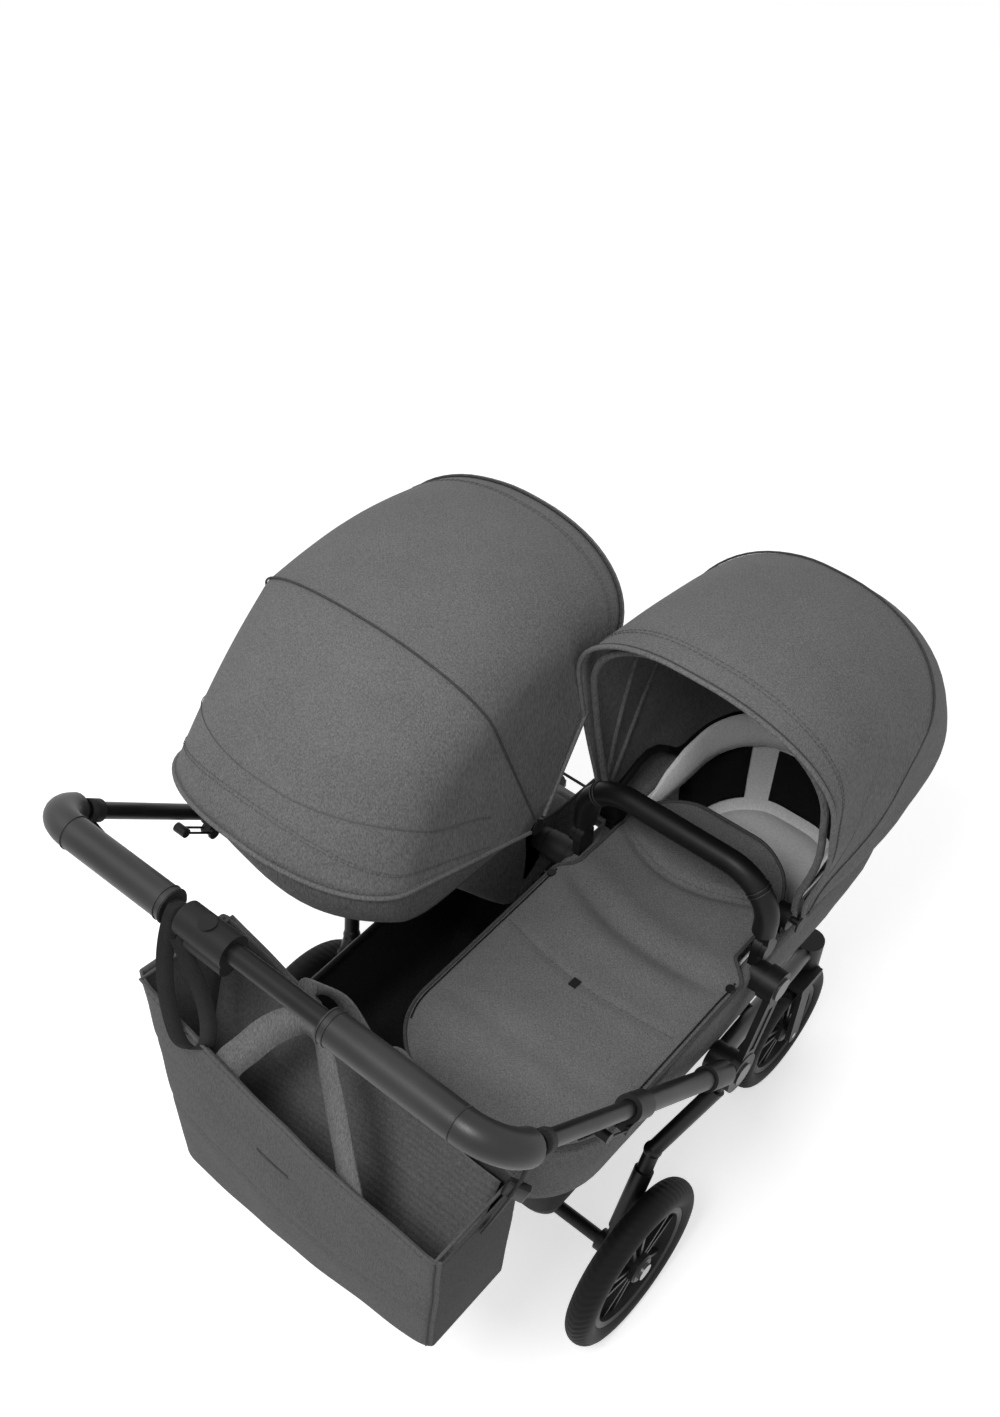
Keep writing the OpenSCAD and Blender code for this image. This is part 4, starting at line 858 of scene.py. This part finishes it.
def barPiece(name, bars, look, body, slot):
    # turned pieces on the cross axis: start, end, place along travel, height, radius, edge round
    bm = bmesh.new()
    for x0, x1, y, z, radius, soft in bars:
        turned = Matrix.Translation(mm((x0 + x1) / 2, y, z)) @ Matrix.Rotation(math.pi / 2, 4, "Y")
        made = bmesh.ops.create_cone(bm, cap_ends=True, segments=40, radius1=radius / 1000, radius2=radius / 1000,
                                     depth=abs(x1 - x0) / 1000, matrix=turned)["verts"]
        ends = list({e for v in made for e in v.link_edges
                     if len(e.link_faces) == 2 and max(len(f.verts) for f in e.link_faces) > 4})
        bmesh.ops.bevel(bm, geom=ends, offset=soft / 1000, segments=3, profile=0.5, affect="EDGES", material=-1)
    dress(makePiece(bm, name, look), body, slot)


barPiece("seatHubs", [(-61, -13, 20, 730, 16, 2), (-314, -361, 20, 730, 16, 2), (-12, -5.4, 20, 730, 13, 1),
                      (-362, -368.6, 20, 730, 13, 1), (-44, -26, 75, 636, 19, 2), (-313, -327, 75, 636, 19, 2)],
         nylon, "seat", "black_plastic")

# lower back of the seat cloth, from hub to hub under the canopy's rear hem: angles in degrees, tuck in mm
curtainSet = {"top": 156, "reach": 15, "tuck": 58, "wall": 5}
tail = [(r, x) for r, x in hoodSection(seatHood) if r > 45]


def curtainPoint(i, down):
    r, x = tail[i]
    full = ease((r - 190) / 190)
    reach = curtainSet["reach"] * (0.3 + 0.7 * ease((x + 150) / 260))
    reach += curtainSet["wall"] * ease((340 - r) / 160)
    return hoodPoint(seatHood, r - 5 - curtainSet["tuck"] * full * down * down, x * (1 - 0.07 * down),
                     curtainSet["top"] + reach * down)


bm = bmesh.new()
bmesh.ops.create_grid(bm, x_segments=len(tail) - 1, y_segments=10, size=1)
for v in bm.verts:
    v.co = curtainPoint(round((v.co.x + 1) / 2 * (len(tail) - 1)), (v.co.y + 1) / 2)
bmesh.ops.recalc_face_normals(bm, faces=bm.faces)
# the darker copy of the canopy cloth on this curtain is painted shade
curtain = makePiece(bm, "seatCanopyCurtain", melangeShaded, thick=2.0)
dress(curtain, "seat", "grey_fabric")
curtainEdge = tubePiece("seatCurtainEdge", [[curtainPoint(i, 1.0) for i in range(len(tail))]], 2.4, pipingCloth)
dress(curtainEdge, "seat", "grey_fabric")
print("seat made")

# padded grips: leather sewn over foam round the bar's corners, with ring seams at places across
gripSet = {"radius": 22, "bend": 55, "y": -502, "z": 957, "down": (-0.7505, 0.6609), "turn": 297,
           "seamRadius": 22.3, "seams": (-130, -138, -296, 114, 122, 296)}
for name, node, start, side in (("gripLeft", "grip_left", -128, -1), ("gripRight", "grip_right", 112, 1)):
    dy, dz = gripSet["down"]
    bend = gripSet["bend"]
    path = [mm(start + (side * gripSet["turn"] - start) * i / 12, gripSet["y"], gripSet["z"]) for i in range(13)]
    for i in range(1, 13):
        a = math.radians(7.5 * i)
        back = bend * (math.cos(a) - 1)
        path.append(mm(side * (gripSet["turn"] + bend * math.sin(a)), gripSet["y"] + dy * back,
                       gripSet["z"] + dz * back))
    grip = tubePiece(name, [path], gripSet["radius"], leather, resolution=8)
    dress(grip, "handlebar", "black_leather", node)


def ringLine(center, axis, radius):
    turn = Vector(axis).to_track_quat("Z", "Y")
    return [center + turn @ mm(radius * math.cos(math.radians(a)), radius * math.sin(math.radians(a)), 0)
            for a in range(0, 360, 10)]


rings = [ringLine(mm(x, gripSet["y"], gripSet["z"]), (1, 0, 0), gripSet["seamRadius"]) for x in gripSet["seams"]]
gripSeams = tubePiece("gripSeams", rings, 0.9, leather, closed=True)
dress(gripSeams, "handlebar", "black_leather")

# carry handle: a wrapped arch with two ring seams on each corner
handleSet = {"x": cot["x"], "y": 85, "foot": 714, "top": 802, "leg": 146, "bend": 70, "radius": 16.4,
             "seamRadius": 16.8, "seamOut": 125.5, "seamHigh": 781.5, "seamShifts": (-2.1, 2.1)}
rings = []
for side in (-1, 1):
    for shift in handleSet["seamShifts"]:
        center = mm(handleSet["x"] + side * (handleSet["seamOut"] + shift), handleSet["y"],
                    handleSet["seamHigh"] - shift)
        rings.append(ringLine(center, (1, 0, -side), handleSet["seamRadius"]))
bend = handleSet["bend"]
half = [(handleSet["leg"], handleSet["foot"])]
for angle in range(0, 91, 6):
    a = math.radians(angle)
    half.append((handleSet["leg"] - bend + bend * math.cos(a), handleSet["top"] - bend + bend * math.sin(a)))
wrapLine = [mm(handleSet["x"] + x, handleSet["y"], z) for x, z in half + [(-x, z) for x, z in half[::-1]]]
# the handle's darker copy of the leatherette is painted shade
handleGrip = tubePiece("handleGrip", [wrapLine], handleSet["radius"], handleShadedLeather, resolution=8)
dress(handleGrip, "cot_handle", "black_leather", "handle_wrap")
handleSeams = tubePiece("handleSeams", rings, 0.8, leather, closed=True)
dress(handleSeams, "cot_handle", "black_leather")

# wrist loop: webbing that hangs over the bag's brim, points given
loopPath = arc([mm(-116, -488, 950), mm(-116, -503, 973), mm(-114, -521, 955), mm(-110, -538, 915),
                mm(-103, -550, 865), mm(-92, -557, 815), mm(-80, -558, 792), mm(-66, -550, 786), mm(-56, -541, 800),
                mm(-54, -535, 845), mm(-66, -530, 890), mm(-92, -524, 930), mm(-112, -518, 944)], 8)
wrist = ribbon("wristLoop", loopPath, (0.78, 0.62, 0.0), 20, 2.0, webbing, "black_fabric")
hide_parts("wrist_strap")

# straps from the bar's legs to the bag, each with a collar and a buckle
strapSet = {"left": ((-352, -449, 884), (-300, -450, 862), (-220, -446, 838), (-149, -440, 818)),
            "right": ((352, -449, 884), (344, -456, 830), (326, -464, 760), (309, -468, 700))}
for key, path in strapSet.items():
    side = (0, 1, 0.15) if key == "left" else (0, 1, -0.1)
    ribbon("bagStrap" + key.title(), arc([mm(*p) for p in path], 6), side, 20, 2.2, webbing,
                         "black_fabric")
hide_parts("bag_straps")
bm = bmesh.new()
along = Vector((0, *gripSet["down"])).to_track_quat("Z", "Y").to_matrix().to_4x4()
for x in (-352, 352):
    bmesh.ops.create_cone(bm, cap_ends=False, segments=32, radius1=0.0128, radius2=0.0128, depth=0.024,
                          matrix=Matrix.Translation(mm(x, -438.2, 900.8)) @ along)
collars = makePiece(bm, "strapCollars", webbing, thick=2.2, offset=1.0)
dress(collars, "handlebar", "black_fabric")
bm = bmesh.new()
for place, run in (((-310, -450, 867), (0.93, 0, -0.36)), ((340, -458, 812), (-0.25, -0.1, -0.96))):
    made = bmesh.ops.create_cube(bm, size=1)["verts"]
    bmesh.ops.scale(bm, vec=(0.034, 0.027, 0.009), verts=made)
    turn = Vector(run).to_track_quat("X", "Y").to_matrix().to_4x4()
    bmesh.ops.transform(bm, matrix=Matrix.Translation(mm(*place)) @ turn, verts=made)
bmesh.ops.bevel(bm, geom=bm.edges[:], offset=0.0025, segments=2, profile=0.5, affect="EDGES", material=-1)
buckles = makePiece(bm, "strapBuckles", nylon)
dress(buckles, "handlebar", "black_plastic")
print("handlebar dressed")

# wheels: tyres with a cut tread and rims with paired spokes
wheelSet = {"rear": {"x": 334, "y": -143, "r": 145, "w": 44, "seat": 107, "hub": 24, "blocks": 66},
            "front": {"x": 262, "y": 370, "r": 122, "w": 40, "seat": 88, "hub": 22, "blocks": 56}}


def spunRing(bm, profile, cx, cy, cz, steps):
    # closed profile of (radius, sideways) points turned about the axle
    verts, edges = chain(bm, [mm(cx + side, cy, cz + radius) for radius, side in profile], closed=True)
    bmesh.ops.spin(bm, geom=verts + edges, cent=mm(cx, cy, cz), axis=(1, 0, 0), angle=2 * math.pi, steps=steps,
                   use_merge=True)


for end, wheel in wheelSet.items():
    for side, sign in (("left", -1), ("right", 1)):
        cx, cy, cz, w, seat = sign * wheel["x"], wheel["y"], wheel["r"], wheel["w"], wheel["seat"]
        body = end + "_wheel_" + side
        bm = bmesh.new()
        tread = [(wheel["r"] - w / 2 + w / 2 * math.sin(math.radians(a)), w / 2 * math.cos(math.radians(a)))
                 for a in range(-40, 221, 13)]
        spunRing(bm, [(seat, w / 2 - 6)] + tread + [(seat, -w / 2 + 6)], cx, cy, cz, wheel["blocks"] * 4)
        for v in bm.verts:
            off = (v.co - mm(cx, cy, cz)) * 1000
            radius = math.hypot(off.y, off.z)
            turn = math.atan2(off.z, off.y) / (2 * math.pi) * wheel["blocks"]
            if radius > wheel["r"] - 10 and 4 < abs(off.x) < w * 0.47 and (turn + abs(off.x) / 16) % 1 < 0.3:
                v.co = mm(cx, cy, cz) + mm(off.x, off.y * (1 - 1.6 / radius), off.z * (1 - 1.6 / radius))
        bmesh.ops.recalc_face_normals(bm, faces=bm.faces)
        tyre = makePiece(bm, end + side.title() + "Tyre", rubber)
        dress(tyre, body, "tyre", end + "_tyre_" + side)
        bm = bmesh.new()
        half = w / 2 - 6
        spunRing(bm, [(seat - 0.4, half), (seat - 0.4, -half), (seat - 6, -half - 2), (seat - 11, -half + 1),
                      (seat - 12, 0), (seat - 11, half - 1), (seat - 6, half + 2)], cx, cy, cz, 72)
        spunRing(bm, [(wheel["hub"], w / 2 - 3), (wheel["hub"] - 3, w / 2), (7.2, w / 2), (7.2, -w / 2),
                      (wheel["hub"] - 3, -w / 2), (wheel["hub"], -w / 2 + 3)], cx, cy, cz, 36)
        reach = seat - 10 - wheel["hub"] + 6
        for k in range(5):
            for lean in (-1, 1):
                made = bmesh.ops.create_cube(bm, size=1)["verts"]
                bmesh.ops.scale(bm, vec=(0.012, reach / 1000, 0.0062), verts=made)
                for v in made:
                    v.co.x *= 1.35 if v.co.y < 0 else 0.8
                shift = Matrix.Translation(mm(0, wheel["hub"] - 3 + reach / 2, lean * 4))
                spread = Matrix.Rotation(math.radians(lean * 7.5), 4, "X")
                turn = Matrix.Rotation(math.radians(72 * k + 90), 4, "X")
                place = Matrix.Translation(mm(cx + sign * 3, cy, cz)) @ turn
                bmesh.ops.transform(bm, matrix=place @ spread @ shift, verts=made)
        bmesh.ops.recalc_face_normals(bm, faces=bm.faces)
        rimPiece = makePiece(bm, end + side.title() + "Rim", rimPlastic, smooth=False)
        dress(rimPiece, body, "black_plastic", end + "_rim_" + side)
print("wheels made")

# lights, world and floor
studio = {"key": 25.0, "fill": 55.0, "world": 0.45, "floor": 0.52}
for name, place, power, size in (("keyLight", (-2.6, -1.2, 3.6), studio["key"], 2.6),
                                 ("fillLight", (0.35, -1.8, 3.45), studio["fill"], 0.9)):
    lamp = bpy.data.lights.new(name, "AREA")
    lamp.energy = power
    lamp.size = size
    holder = bpy.data.objects.new(name, lamp)
    holder.location = place
    holder.rotation_euler = (Vector((0, 0, 0.5)) - Vector(place)).to_track_quat("-Z", "Y").to_euler()
    scene.collection.objects.link(holder)


def backdropRays(tree):
    # rays that see the white backdrop: from the camera, or mirrored, or passed through
    rays = addNode(tree, "ShaderNodeLightPath")
    seen = rays.outputs["Is Camera Ray"]
    for kind in ("Is Glossy Ray", "Is Transmission Ray"):
        both = addNode(tree, "ShaderNodeMath", {}, {0: seen, 1: rays.outputs[kind]}, operation="MAXIMUM")
        seen = both.outputs[0]
    return seen


world = bpy.data.worlds.new("studioWorld")
scene.world = world
world.use_nodes = True
tree = world.node_tree
power = addNode(tree, "ShaderNodeMapRange", {"To Min": studio["world"], "To Max": 1.0},
                {"Value": backdropRays(tree)})
tree.links.new(power.outputs["Result"], tree.nodes["Background"].inputs["Strength"])
tree.nodes["Background"].inputs["Color"].default_value = (1, 1, 1, 1)
bm = bmesh.new()
bmesh.ops.create_grid(bm, x_segments=1, y_segments=1, size=14)
floorLook, tree, shader, place = startMaterial("paperFloor")
shader.inputs["Base Color"].default_value = linear("f4f4f4")
shader.inputs["Roughness"].default_value = 0.9
lit = addNode(tree, "ShaderNodeMapRange", {"To Min": 0.0, "To Max": studio["floor"]},
              {"Value": backdropRays(tree)})
shader.inputs["Emission Color"].default_value = (1, 1, 1, 1)
tree.links.new(lit.outputs["Result"], shader.inputs["Emission Strength"])
floor = makePiece(bm, "floor", floorLook, smooth=False)
print("light and floor set")
